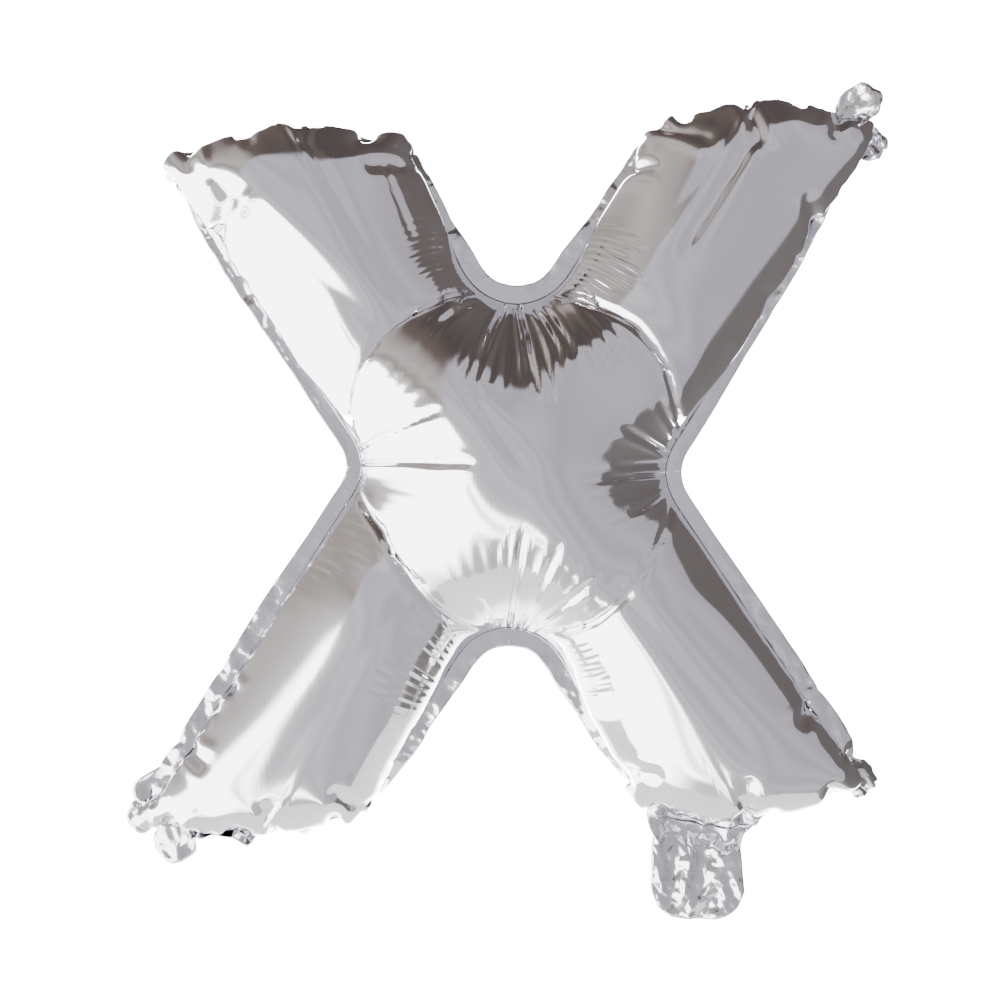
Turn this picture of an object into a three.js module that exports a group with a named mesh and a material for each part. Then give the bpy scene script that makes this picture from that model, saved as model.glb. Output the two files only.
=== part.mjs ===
// A silver foil balloon in the shape of a letter X, air filled, 16 inch size.
// Two X-shaped films are welded together round their edge and bulge apart between the welds. The weld
// margin stands out flat all round and gathers into lobes at the sharp corners, and a filling tail hangs
// from one leg. Millimetres. X runs across the letter, Z up it, and the front faces -Y. The origin is the
// middle of the crossing.

import * as THREE from "three";

// The films. Real film is about 0.03 mm thick, and is drawn thick enough to be a solid wall.
const FILM = 1.0;
const PLY = 0.6;
const SEAT = 0.3;

// How far one film stands from the weld plane: in the middle, at the creases round it, and along the
// arms from past the crease to the tip.
const CENTRE_RISE = 62.5;
const CREASE_RISE = 37;
const ARM_RISE = 40.5;
const TIP_RISE = 29;
const ARM_FULL_AT = 0.08;
const TIP_ROUND_FROM = 0.65;
const CREASE_BOW = 2;

// How much straighter than an ellipse the films' sections run in to their edges: across an arm, and from
// the middle out to a notch and to a crease.
const ARM_TAPER = 1.2;
const NOTCH_TAPER = 0.85;
const CREASE_TAPER = 1.7;

// How much softer than an arm's section the middle swells from a notch's line to a crease's, at its top.
const CENTRE_EASE = 0.8;

// Mesh steps across an arm, along it and out from the middle, and the length of one step along the margin.
const ACROSS = 10;
const ALONG = 14;
const RINGS = 8;
const MARGIN_STEP = 5;

// The innermost point of each notch's weld line, the radius it turns with, and the way the notch opens.
const NOTCHES = {
  top: { apex: [2, 81], radius: 32, open: [0, 1] },
  right: { apex: [77, -3], radius: 34, open: [1, 0] },
  bottom: { apex: [-2, -82], radius: 32, open: [0, -1] },
  left: { apex: [-76, -2], radius: 34, open: [-1, 0] },
};

// Each arm runs out between two notches, taken clockwise, to a tip between its first and second corner.
// round is the weld line's radius at each of those corners, and bow is how far the first side, the tip
// and the second side stand out of straight.
const ARMS = [
  {
    name: "upper_right", from: "top", to: "right",
    first: [71, 167], second: [182, 173], round: [10, 6], bow: [0, 7, 4],
  },
  {
    name: "lower_right", from: "right", to: "bottom",
    first: [177, -162], second: [61, -164], round: [6, 10], bow: [0, 9, 0],
  },
  {
    name: "lower_left", from: "bottom", to: "left",
    first: [-76, -174], second: [-186, -181], round: [10, 6], bow: [0, 5, 8],
  },
  {
    name: "upper_left", from: "left", to: "top",
    first: [-175, 154], second: [-56, 162], round: [6, 12], bow: [0, 7, 0],
  },
];

// The welded margin: its width, how far it laps in between the two films, and its ruffles' depth and
// length. A notch's margin is plain for calm to either side of its middle.
const MARGIN = { width: 9, lap: 2, ruffle: 1.6, ruffleLength: 24, calm: 55 };

// Where the margin gathers into a lobe: on which stretch, how far along it, how far out it reaches and
// how wide.
const LOBES = [
  { stretch: "upper_right_tip", at: 96, out: 10, wide: 8 },
  { stretch: "right_notch", at: 12, out: 2, wide: 9 },
  { stretch: "lower_right_tip", at: 6, out: 7, wide: 8 },
  { stretch: "lower_right_tip", at: 43, out: 14, wide: 14 },
  { stretch: "lower_left_tip", at: 94, out: 18, wide: 8 },
  { stretch: "left_notch", at: 12, out: 7, wide: 12 },
  { stretch: "left_notch", at: 44, out: 6, wide: 10 },
  { stretch: "upper_left_tip", at: 62, out: 7, wide: 12 },
];

// The filling tail on the lower right leg, and the flat valve sleeve that lies between its two plies.
const TAIL = { arm: "lower_right", centre: 93, width: 45, bottom: -224, round: 20 };
const VALVE = { width: 26, top: -160, bottom: -206, round: 4 };

const foil = new THREE.MeshStandardMaterial({ color: 0xc9c9cf, roughness: 0.12, metalness: 1 });
const weldedFoil = new THREE.MeshStandardMaterial({ color: 0xb9bac1, roughness: 0.25, metalness: 1 });
const valveFilm = new THREE.MeshStandardMaterial({ color: 0xd8d3bd, roughness: 0.3, metalness: 0 });

const point = ([x, z]) => new THREE.Vector2(x, z);
const wrap = (angle) => Math.atan2(Math.sin(angle), Math.cos(angle));

// The middle of a corner's round, and the arc of that radius from the line before it to the line after it.
function cornerArc(before, corner, after, radius) {
  const back = before.clone().sub(corner).normalize();
  const on = after.clone().sub(corner).normalize();
  const half = Math.acos(back.dot(on)) / 2;
  const centre = corner.clone().addScaledVector(back.clone().add(on).normalize(), radius / Math.sin(half));
  const leave = corner.clone().addScaledVector(back, radius / Math.tan(half));
  const middle = centre.clone().addScaledVector(corner.clone().sub(centre).normalize(), radius);
  return { centre, leave, middle, radius };
}

// Runs a path on to a point, bowed out of straight towards the side that a direction gives.
function bowTo(path, to, towards, bow) {
  const from = path.getPoint(1);
  const over = to.clone().sub(from).normalize();
  const out = new THREE.Vector2(-over.y, over.x);
  const middle = from.lerp(to, 0.5).addScaledVector(out, 2 * bow * Math.sign(out.dot(towards)));
  path.quadraticCurveTo(middle.x, middle.y, to.x, to.y);
}

// The side of an arm as a path: half round the notch, on to the corner, and half round that.
function sidePath(notch, corner, beyond, radius, bow) {
  const open = point(notch.open);
  const centre = point(notch.apex).addScaledVector(open, notch.radius);
  const start = Math.atan2(-open.y, -open.x);
  const toCorner = corner.clone().sub(centre);
  const swing = Math.acos(notch.radius / toCorner.length());
  const turns = [swing, -swing].map((a) => wrap(toCorner.angle() + a - start));
  const turn = Math.abs(turns[0]) < Math.abs(turns[1]) ? turns[0] : turns[1];
  const path = new THREE.Path();
  path.absarc(centre.x, centre.y, notch.radius, start, start + turn, turn < 0);
  const arc = cornerArc(path.getPoint(1), corner, beyond, radius);
  bowTo(path, arc.leave, corner.clone().sub(beyond), bow);
  const from = arc.leave.clone().sub(arc.centre).angle();
  const bend = wrap(arc.middle.clone().sub(arc.centre).angle() - from);
  path.absarc(arc.centre.x, arc.centre.y, radius, from, from + bend, bend < 0);
  return path;
}

// The end of an arm as a path from the middle of one corner's round to the middle of the other's.
function tipPath(arm, sides) {
  const corners = [point(arm.first), point(arm.second)];
  const arcs = sides.map((side, i) =>
    cornerArc(side.curves[0].getPoint(1), corners[i], corners[1 - i], arm.round[i]),
  );
  const path = new THREE.Path();
  const [a, b] = arcs;
  const angle = (arc, p) => p.clone().sub(arc.centre).angle();
  const along = corners[1].clone().sub(corners[0]).normalize();
  const square = new THREE.Vector2(-along.y, along.x);
  const meet = (arc) => arc.centre.clone().addScaledVector(square, arc.radius);
  const bendA = wrap(angle(a, meet(a)) - angle(a, a.middle));
  path.absarc(a.centre.x, a.centre.y, a.radius, angle(a, a.middle), angle(a, a.middle) + bendA, bendA < 0);
  bowTo(path, meet(b), corners[0].clone().sub(sides[0].getPoint(0)), arm.bow[1]);
  const bendB = wrap(angle(b, b.middle) - angle(b, meet(b)));
  path.absarc(b.centre.x, b.centre.y, b.radius, angle(b, meet(b)), angle(b, meet(b)) + bendB, bendB < 0);
  return path;
}

// Every arm's outline: its two sides from the notches out, and its tip.
const outlines = ARMS.map((arm) => {
  const first = sidePath(NOTCHES[arm.from], point(arm.first), point(arm.second), arm.round[0], arm.bow[0]);
  const second = sidePath(NOTCHES[arm.to], point(arm.second), point(arm.first), arm.round[1], arm.bow[2]);
  return { arm, first, second, tip: tipPath(arm, [first, second]) };
});

// The crease where an arm meets the middle: an arc bowed out between two notches.
function creasePoint(arm, share) {
  const a = point(NOTCHES[arm.from].apex);
  const b = point(NOTCHES[arm.to].apex);
  const angle = Math.atan2(a.y, a.x) + wrap(Math.atan2(b.y, b.x) - Math.atan2(a.y, a.x)) * share;
  const radius = a.length() + (b.length() - a.length()) * share + CREASE_BOW * Math.sin(Math.PI * share);
  return new THREE.Vector2(Math.cos(angle), Math.sin(angle)).multiplyScalar(radius);
}

// Steps across an arm are even in angle round its section, and steps along it draw together at the tip.
const acrossShare = (j) => (1 - Math.cos((Math.PI * j) / ACROSS)) / 2;
const acrossRise = (j) => Math.max(0, Math.sin((Math.PI * j) / ACROSS)) ** ARM_TAPER;
const alongShare = (i) => 0.5 * Math.sin((Math.PI / 2) * (i / ALONG)) + 0.5 * (i / ALONG);

// How far one film stands from the weld plane along an arm: full soon after the crease, then falling
// slowly, and round at the tip.
function riseAlong(share) {
  const full = ARM_RISE + (TIP_RISE - ARM_RISE) * share;
  const rise = CREASE_RISE + (full - CREASE_RISE) * Math.min(1, share / ARM_FULL_AT);
  const end = Math.max(0, (share - TIP_ROUND_FROM) / (1 - TIP_ROUND_FROM));
  return rise * Math.sqrt(1 - end * end);
}

// One arm of a film as rows of points, from the crease out to the tip.
function armRows({ arm, first, second, tip }) {
  return Array.from({ length: ALONG + 1 }, (_, i) => {
    const v = i === ALONG ? 1 : alongShare(i);
    const a = first.getPointAt(v);
    const b = second.getPointAt(v);
    return Array.from({ length: ACROSS + 1 }, (_, j) => {
      const u = acrossShare(j);
      const straight = point(NOTCHES[arm.from].apex).lerp(point(NOTCHES[arm.to].apex), u);
      const bow = creasePoint(arm, u).sub(straight);
      const end = tip.getPointAt(u).sub(first.getPointAt(1).lerp(second.getPointAt(1), u));
      const at = a.clone().lerp(b, u).addScaledVector(bow, (1 - v) ** 2).addScaledVector(end, v ** 4);
      return { at, rise: riseAlong(v) * acrossRise(j) };
    });
  });
}

// The round cushion in the middle of a film, as rings of points from its top out to the four creases.
function centreRings() {
  return Array.from({ length: RINGS + 1 }, (_, k) => {
    const out = Math.sin((Math.PI / 2) * (k / RINGS));
    const toNotch = CENTRE_RISE * (1 - out * out) ** NOTCH_TAPER;
    const toCrease = CENTRE_RISE - (CENTRE_RISE - CREASE_RISE) * out ** CREASE_TAPER;
    return ARMS.flatMap((arm) =>
      Array.from({ length: ACROSS }, (_, j) => ({
        at: creasePoint(arm, acrossShare(j)).multiplyScalar(out),
        rise: toNotch + (toCrease - toNotch) * acrossRise(j) ** (1 + CENTRE_EASE * (1 - out * out)),
      })),
    );
  });
}

// A film's outer skin: its points, its triangles, and the ring of points on its weld line, clockwise.
function skin() {
  const points = [];
  const triangles = [];
  const known = new Map();
  const add = ({ at, rise }) => {
    const key = `${at.x.toFixed(2)},${at.y.toFixed(2)}`;
    if (!known.has(key)) known.set(key, points.push(new THREE.Vector3(at.x, rise, at.y)) - 1);
    return known.get(key);
  };
  const quad = (a, b, c, d) => {
    if (a !== b) triangles.push([a, b, c]);
    if (c !== d) triangles.push([a, c, d]);
  };
  const rings = centreRings().map((ring) => ring.map(add));
  for (let k = 0; k < RINGS; k++)
    rings[k].forEach((a, j) => {
      const next = (j + 1) % rings[k].length;
      quad(a, rings[k][next], rings[k + 1][next], rings[k + 1][j]);
    });
  const weld = [];
  for (const outline of outlines) {
    const rows = armRows(outline).map((row) => row.map(add));
    for (let i = 0; i < ALONG; i++)
      for (let j = 0; j < ACROSS; j++) quad(rows[i][j], rows[i][j + 1], rows[i + 1][j + 1], rows[i + 1][j]);
    for (let i = 0; i < ALONG; i++) weld.push(rows[i][0]);
    for (let j = 0; j < ACROSS; j++) weld.push(rows[ALONG][j]);
    for (let i = ALONG; i > 0; i--) weld.push(rows[i][ACROSS]);
  }
  return { points, triangles, weld };
}

// A film as a wall, facing -1 for the front and 1 for the back: the skin, a second skin one thickness
// inside it, and the strip between the two that rests on the margin.
function filmGeometry(facing) {
  const { points, triangles, weld } = skin();
  const normals = points.map(() => new THREE.Vector3());
  for (const corners of triangles) {
    const [a, b, c] = corners.map((i) => points[i]);
    const normal = c.clone().sub(a).cross(b.clone().sub(a));
    for (const i of corners) normals[i].add(normal);
  }
  const onWeld = new Set(weld);
  const lift = PLY / 2 + SEAT;
  const outer = points.map((p) => new THREE.Vector3(p.x, facing * (p.y + lift), p.z));
  const inner = points.map((p, i) => {
    const normal = onWeld.has(i) ? normals[i].setY(0) : normals[i];
    const q = p.clone().addScaledVector(normal.normalize(), -FILM);
    return new THREE.Vector3(q.x, facing * (q.y + lift), q.z);
  });
  const count = points.length;
  const faces = [];
  const face = (a, b, c) => faces.push(...(facing < 0 ? [a, b, c] : [a, c, b]));
  for (const [a, b, c] of triangles) {
    face(a, b, c);
    face(count + a, count + c, count + b);
  }
  weld.forEach((a, i) => {
    const b = weld[(i + 1) % weld.length];
    face(a, b, count + b);
    face(a, count + b, count + a);
  });
  return new THREE.BufferGeometry().setFromPoints([...outer, ...inner]).setIndex(faces);
}

// A flat plate of one outline in the XZ plane, from one depth to another.
function plate(outline, front, back) {
  const shape = new THREE.Shape(outline);
  const geometry = new THREE.ExtrudeGeometry(shape, { depth: back - front, bevelEnabled: false });
  return geometry.rotateX(Math.PI / 2).translate(0, back, 0);
}

// Points a step apart along a path, with the way out from the film at each, from one share of it to
// another.
function stepsAlong(path, from, to) {
  const length = path.getLength();
  const steps = Math.ceil(length / MARGIN_STEP);
  const gap = SEAT / 2 / length;
  return Array.from({ length: steps + 1 }, (_, i) => {
    const share = gap + ((1 - 2 * gap) * (from + ((to - from) * i) / steps));
    const ahead = path.getTangentAt(share).multiplyScalar(to - from);
    return { at: path.getPointAt(share), out: new THREE.Vector2(-ahead.y, ahead.x) };
  });
}

// The stretches of margin, clockwise: one round each notch out to the two corners beside it, and one on
// each tip.
const stretches = outlines.flatMap(({ arm, first, tip }, i) => {
  const before = outlines[(i + outlines.length - 1) % outlines.length].second;
  const notch = [...stepsAlong(before, 1, 0), ...stepsAlong(first, 0, 1)];
  return [
    { name: `${arm.from}_notch`, steps: notch, calmAt: before.getLength() },
    { name: `${arm.name}_tip`, steps: stepsAlong(tip, 0, 1), arm },
  ];
});

// How far the margin's edge stands outside the weld line at a distance along a stretch.
function marginWidth({ name, calmAt }, along) {
  const past = calmAt === undefined ? 1 : Math.abs(along - calmAt) / MARGIN.calm - 1;
  const calm = Math.min(1, Math.max(0, past));
  const ruffle = MARGIN.ruffle * calm * Math.sin((2 * Math.PI * along) / MARGIN.ruffleLength);
  return LOBES.filter((lobe) => lobe.stretch === name).reduce(
    (width, lobe) => width + lobe.out * Math.exp(-(((along - lobe.at) / lobe.wide) ** 2)),
    MARGIN.width + ruffle,
  );
}

// A flat band one ply thick through rows of points that run side by side, the innermost row first.
function band(rows) {
  const [across, along] = [rows.length, rows[0].length];
  const raised = (y) => rows.flatMap((row) => row.map((p) => new THREE.Vector3(p.x, y, p.y)));
  const points = [-PLY / 2, PLY / 2].flatMap(raised);
  const front = (row, i) => row * along + i;
  const back = (row, i) => (across + row) * along + i;
  const faces = [];
  const quad = (a, b, c, d) => faces.push(a, b, c, a, c, d);
  for (let i = 0; i < along - 1; i++) {
    for (let row = 0; row < across - 1; row++) {
      quad(front(row, i), front(row, i + 1), front(row + 1, i + 1), front(row + 1, i));
      quad(back(row, i), back(row + 1, i), back(row + 1, i + 1), back(row, i + 1));
    }
    quad(front(0, i + 1), front(0, i), back(0, i), back(0, i + 1));
    quad(front(across - 1, i), front(across - 1, i + 1), back(across - 1, i + 1), back(across - 1, i));
  }
  for (let row = 0; row < across - 1; row++) {
    quad(front(row, 0), front(row + 1, 0), back(row + 1, 0), back(row, 0));
    quad(front(row + 1, along - 1), front(row, along - 1), back(row, along - 1), back(row + 1, along - 1));
  }
  return new THREE.BufferGeometry().setFromPoints(points).setIndex(faces);
}

// One stretch of margin: its lap between the films' rims, and the part outside them out to the ruffled
// edge.
function marginGeometry(stretch) {
  const rows = [[], [], []];
  let along = 0;
  stretch.steps.forEach(({ at, out }, i) => {
    along += i ? at.distanceTo(stretch.steps[i - 1].at) : 0;
    [-MARGIN.lap, SEAT, marginWidth(stretch, along)].forEach((width, row) => {
      rows[row].push(at.clone().addScaledVector(out, width));
    });
  });
  return band(rows);
}

// A tongue hanging down from a line of points that runs left: rounded at its two bottom corners.
function tongue({ centre, width, bottom, round }, top) {
  const shape = new THREE.Path();
  const left = centre - width / 2;
  const right = centre + width / 2;
  shape.setFromPoints([...top].reverse()).lineTo(right, bottom + round);
  shape.quadraticCurveTo(right, bottom, right - round, bottom).lineTo(left + round, bottom);
  shape.quadraticCurveTo(left, bottom, left, bottom + round);
  return shape.getPoints(8);
}

const balloon = new THREE.Group();
balloon.name = "letter_foil_balloon";

function add(geometry, material, name) {
  const mesh = new THREE.Mesh(geometry, material);
  mesh.name = name;
  balloon.add(mesh);
}

add(filmGeometry(-1), foil, "front_film");
add(filmGeometry(1), foil, "back_film");

// The tip margin of the leg with the tail runs only where it is clear of the tail, which starts at the
// weld.
const tailed = ARMS.find(({ name }) => name === TAIL.arm);
const tailTop = stretches
  .find(({ arm }) => arm === tailed)
  .steps.filter(({ at }) => Math.abs(at.x - TAIL.centre) <= TAIL.width / 2)
  .map(({ at, out }) => at.clone().addScaledVector(out, SEAT));
tailTop[0].x = TAIL.centre + TAIL.width / 2;
tailTop.at(-1).x = TAIL.centre - TAIL.width / 2;
const valveSide = (side) => TAIL.centre + (side * VALVE.width) / 2;
const valveTop = [1, -1].map((side) => new THREE.Vector2(valveSide(side), VALVE.top));
for (const stretch of stretches) {
  const clear = ({ at }) => stretch.arm !== tailed || at.x > TAIL.centre + TAIL.width / 2;
  const steps = stretch.steps.filter(clear);
  add(marginGeometry({ ...stretch, steps }), weldedFoil, `${stretch.name}_margin`);
}

add(plate(tongue(TAIL, tailTop), -SEAT - PLY * 1.5, -SEAT - PLY / 2), weldedFoil, "tail_front_ply");
add(plate(tongue(TAIL, tailTop), SEAT + PLY / 2, SEAT + PLY * 1.5), weldedFoil, "tail_back_ply");
const valve = tongue({ centre: TAIL.centre, ...VALVE }, valveTop);
add(plate(valve, -PLY / 2, PLY / 2), valveFilm, "valve_sleeve");

export default balloon;
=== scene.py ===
"""Looks of an air-filled letter balloon: two mirror films welded round the edge, and its filling tail.

The films start as the flat cut and are filled by a cloth simulation, from a coarse mesh to a fine
one. Then the weld and the crease round the middle are brought to where they are seen, and the fine
pleats and folds are pressed in.
"""

import logging
import math
from collections.abc import Iterator
from dataclasses import dataclass, field
from enum import Enum

import bpy
import numpy as np
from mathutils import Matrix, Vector, noise

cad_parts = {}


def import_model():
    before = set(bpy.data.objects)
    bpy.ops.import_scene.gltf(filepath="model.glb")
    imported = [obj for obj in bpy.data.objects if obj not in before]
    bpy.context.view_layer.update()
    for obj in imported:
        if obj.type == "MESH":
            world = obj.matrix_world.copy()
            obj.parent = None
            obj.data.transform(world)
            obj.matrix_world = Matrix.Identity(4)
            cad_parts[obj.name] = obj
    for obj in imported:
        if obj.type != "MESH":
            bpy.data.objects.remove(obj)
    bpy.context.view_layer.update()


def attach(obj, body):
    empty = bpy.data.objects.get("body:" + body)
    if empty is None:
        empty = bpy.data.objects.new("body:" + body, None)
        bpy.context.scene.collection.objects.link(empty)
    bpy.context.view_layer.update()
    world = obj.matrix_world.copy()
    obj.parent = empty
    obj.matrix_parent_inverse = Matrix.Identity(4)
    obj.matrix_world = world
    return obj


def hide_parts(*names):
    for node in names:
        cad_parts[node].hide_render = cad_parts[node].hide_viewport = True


MM = 0.001
LOG = logging.getLogger("balloon")
Pair = tuple[float, float]
Rows = tuple[tuple[float, ...], ...]
Stops = tuple[tuple[float, str], ...]
Hold = tuple[np.ndarray, np.ndarray, float]


# The flat cut and the weld line of the full balloon, in millimetres, x to the right and z up.


@dataclass(frozen=True)
class Notch:
    """An inner angle of the letter, where the weld line turns round between two arms."""

    apex: Pair
    radius: float
    opens: Pair

    @property
    def outward(self) -> np.ndarray:
        """The direction in which it opens."""
        return np.array(self.opens, float)

    @property
    def centre(self) -> np.ndarray:
        """Centre of its rounding."""
        return np.array(self.apex) + self.radius * self.outward


@dataclass(frozen=True)
class Arm:
    """One arm, between the notch before it and the notch after it, going clockwise.

    first and second are the corners of its tip, rounding their radii, and bows how far its first
    side, its tip and its second side stand out of straight.
    """

    name: str
    before: str
    after: str
    first: Pair
    second: Pair
    rounding: Pair
    bows: tuple[float, float, float]


def notches(top: Pair, right: Pair, bottom: Pair, left: Pair, radii: Pair) -> dict[str, Notch]:
    """Names the four notches.

    Args:
        top, right, bottom, left: the notches' apexes.
        radii: radius of the top and bottom notches, and of the left and right ones.

    Returns:
        The notches by name.
    """
    return {
        "top": Notch(top, radii[0], (0, 1)),
        "right": Notch(right, radii[1], (1, 0)),
        "bottom": Notch(bottom, radii[0], (0, -1)),
        "left": Notch(left, radii[1], (-1, 0)),
    }


FLAT_NOTCHES = notches((1.7, 110.4), (104.5, -2.9), (-2.7, -107.5), (-103.1, -4.1), (28, 30))
FLAT_ARMS = (
    Arm("upper_right", "top", "right", (84.0, 193.4), (213.8, 177.1), (10, 6), (1.9, 19.8, 9.0)),
    Arm("lower_right", "right", "bottom", (202.8, -167.5), (71.4, -187.9), (6, 10), (9.0, 23.0, 3.1)),
    Arm("lower_left", "bottom", "left", (-87.6, -199.1), (-212.5, -188.1), (10, 6), (3.6, 14.7, 9.0)),
    Arm("upper_left", "left", "top", (-203.9, 155.7), (-70.4, 184.8), (6, 12), (9.0, 21.0, 1.3)),
)
FULL_NOTCHES = notches((2, 81), (77, -3), (-2, -82), (-76, -2), (32, 34))
FULL_ARMS = (
    Arm("upper_right", "top", "right", (71, 167), (182, 173), (10, 6), (0, 7, 4)),
    Arm("lower_right", "right", "bottom", (177, -162), (61, -164), (6, 10), (0, 9, 0)),
    Arm("lower_left", "bottom", "left", (-76, -174), (-186, -181), (10, 6), (0, 5, 8)),
    Arm("upper_left", "left", "top", (-175, 154), (-56, 162), (6, 12), (0, 7, 0)),
)
# Grid lines across an arm's tip, along one side of an arm, and those of them beside the middle square.
ACROSS = 80
ALONG = 128
CORE = 32
# Points of the ring from one notch's apex to the next, and all round.
PER = 2 * ALONG + ACROSS
AROUND = 4 * PER
# Across a tip the lines are a mean of even ones and of ones that are closer at the corners.
EVEN_SHARE, CLOSER_SHARE = 0.55, 0.45
# How much closer the lines along a side are near its notch and near its tip, and on what share of it.
NEAR_NOTCH = (0.62, 0.3)
NEAR_TIP = (0.45, 0.09)
# Points that are the same to a thousandth of a millimetre are joined.
PER_MM = 1000
MARGIN_ROWS = 4
MARGIN_WIDTH = 9.5
# At a corner the margin widens by a share of the corner's gap, over a share of its rounding.
EAR_SHARES = (0.3, 1.9)
EAR_REACH = 0.75
TAIL_COLUMNS = (40, 72)
TAIL_ROWS = 24
TAIL_LENGTH = 52.0
TAIL_HALF = 23.5
TAIL_ROUND = 17.0


def turn_of(angle: float) -> float:
    """Brings an angle into -pi to pi."""
    return (angle + math.pi) % (2 * math.pi) - math.pi


def bearing(v: np.ndarray) -> float:
    """Angle of a direction."""
    return math.atan2(v[1], v[0])


def unit(v: np.ndarray) -> np.ndarray:
    """A direction made one long."""
    return v / np.hypot(*v)


def arc(centre: np.ndarray, radius: float, start: float, turn: float, count: int = 60) -> np.ndarray:
    """Points on an arc.

    Args:
        centre: centre of the arc.
        radius: its radius.
        start: angle of the first point.
        turn: angle from the first to the last point.
        count: number of points.

    Returns:
        The points, one a row.
    """
    t = start + np.linspace(0, turn, count)
    return centre + radius * np.stack([np.cos(t), np.sin(t)], 1)


def arc_between(centre: np.ndarray, radius: float, begin: np.ndarray, end: np.ndarray) -> np.ndarray:
    """Points on the shorter arc from one point to another."""
    start = bearing(begin - centre)
    return arc(centre, radius, start, turn_of(bearing(end - centre) - start), 30)


def run_along(line: np.ndarray) -> np.ndarray:
    """Length of a line up to each of its points."""
    return np.r_[0, np.cumsum(np.hypot(*np.diff(line, axis=0).T))]


def rise(value: np.ndarray, start: float, length: float | np.ndarray) -> np.ndarray:
    """A share that rises from 0 at a start to 1 a length further on."""
    return np.clip((value - start) / length, 0, 1)


def smooth(share: np.ndarray) -> np.ndarray:
    """Rounds off both ends of a share that rises from 0 to 1."""
    return share * share * (3 - 2 * share)


def quads(ids: np.ndarray) -> np.ndarray:
    """Faces between the points of a grid, as point numbers."""
    return np.stack([ids[:-1, :-1], ids[:-1, 1:], ids[1:, 1:], ids[1:, :-1]], -1).reshape(-1, 4)


def resample(line: np.ndarray, shares: np.ndarray) -> np.ndarray:
    """Points of a line at shares of its length.

    Args:
        line: the line's points.
        shares: the shares, 0 at its start and 1 at its end.

    Returns:
        The points, one a row.
    """
    run = run_along(line)
    run /= run[-1]
    return np.stack([np.interp(shares, run, line[:, 0]), np.interp(shares, run, line[:, 1])], 1)


def rounded(
    before: np.ndarray, corner: np.ndarray, after: np.ndarray, radius: float,
) -> tuple[np.ndarray, np.ndarray, np.ndarray]:
    """Rounds a corner.

    Args:
        before: a point on the side that comes to the corner.
        corner: the sharp corner.
        after: a point on the side that leaves it.
        radius: radius of the rounding.

    Returns:
        Its centre, the point where it leaves the first side, and its middle.
    """
    back, on = unit(before - corner), unit(after - corner)
    half = math.acos(np.clip(back @ on, -1, 1)) / 2
    inward = unit(back + on)
    centre = corner + inward * radius / math.sin(half)
    return centre, corner + back * radius / math.tan(half), centre - inward * radius


@dataclass
class Side:
    """One side of an arm: its points from the notch's apex out, and the arc that it starts with."""

    points: np.ndarray
    leaves: np.ndarray
    centre: np.ndarray

    def feet(self, start: np.ndarray, end: np.ndarray) -> np.ndarray:
        """Where the columns that stand square to this side meet an arm's spine, from its start to its end.

        Args:
            start: the spine's inner end.
            end: its outer end, on the tip.

        Returns:
            The share of the spine at each column from CORE on.
        """
        radius = np.hypot(*(self.points[0] - self.centre))
        spine = end - start
        run = run_along(self.points)
        turned = np.hypot(*(self.leaves - self.centre)) * abs(
            turn_of(bearing(self.leaves - self.centre) - bearing(self.points[0] - self.centre))
        )
        share = np.zeros(ALONG + 1)
        for i, point in enumerate(self.points):
            if run[i] <= turned:
                out = (point - self.centre) / radius
                gap = self.centre - start
                share[i] = (gap[0] * out[1] - gap[1] * out[0]) / (spine[0] * out[1] - spine[1] * out[0])
                last = i
        share[last:] = share[last] + (1 - share[last]) * (run[last:] - run[last]) / (run[-1] - run[last])
        share = share[CORE:]
        return (share - share[0]) / (1 - share[0])


# An arm's first side, its tip and its second side.
Edges = tuple[Side, np.ndarray, Side]


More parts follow.
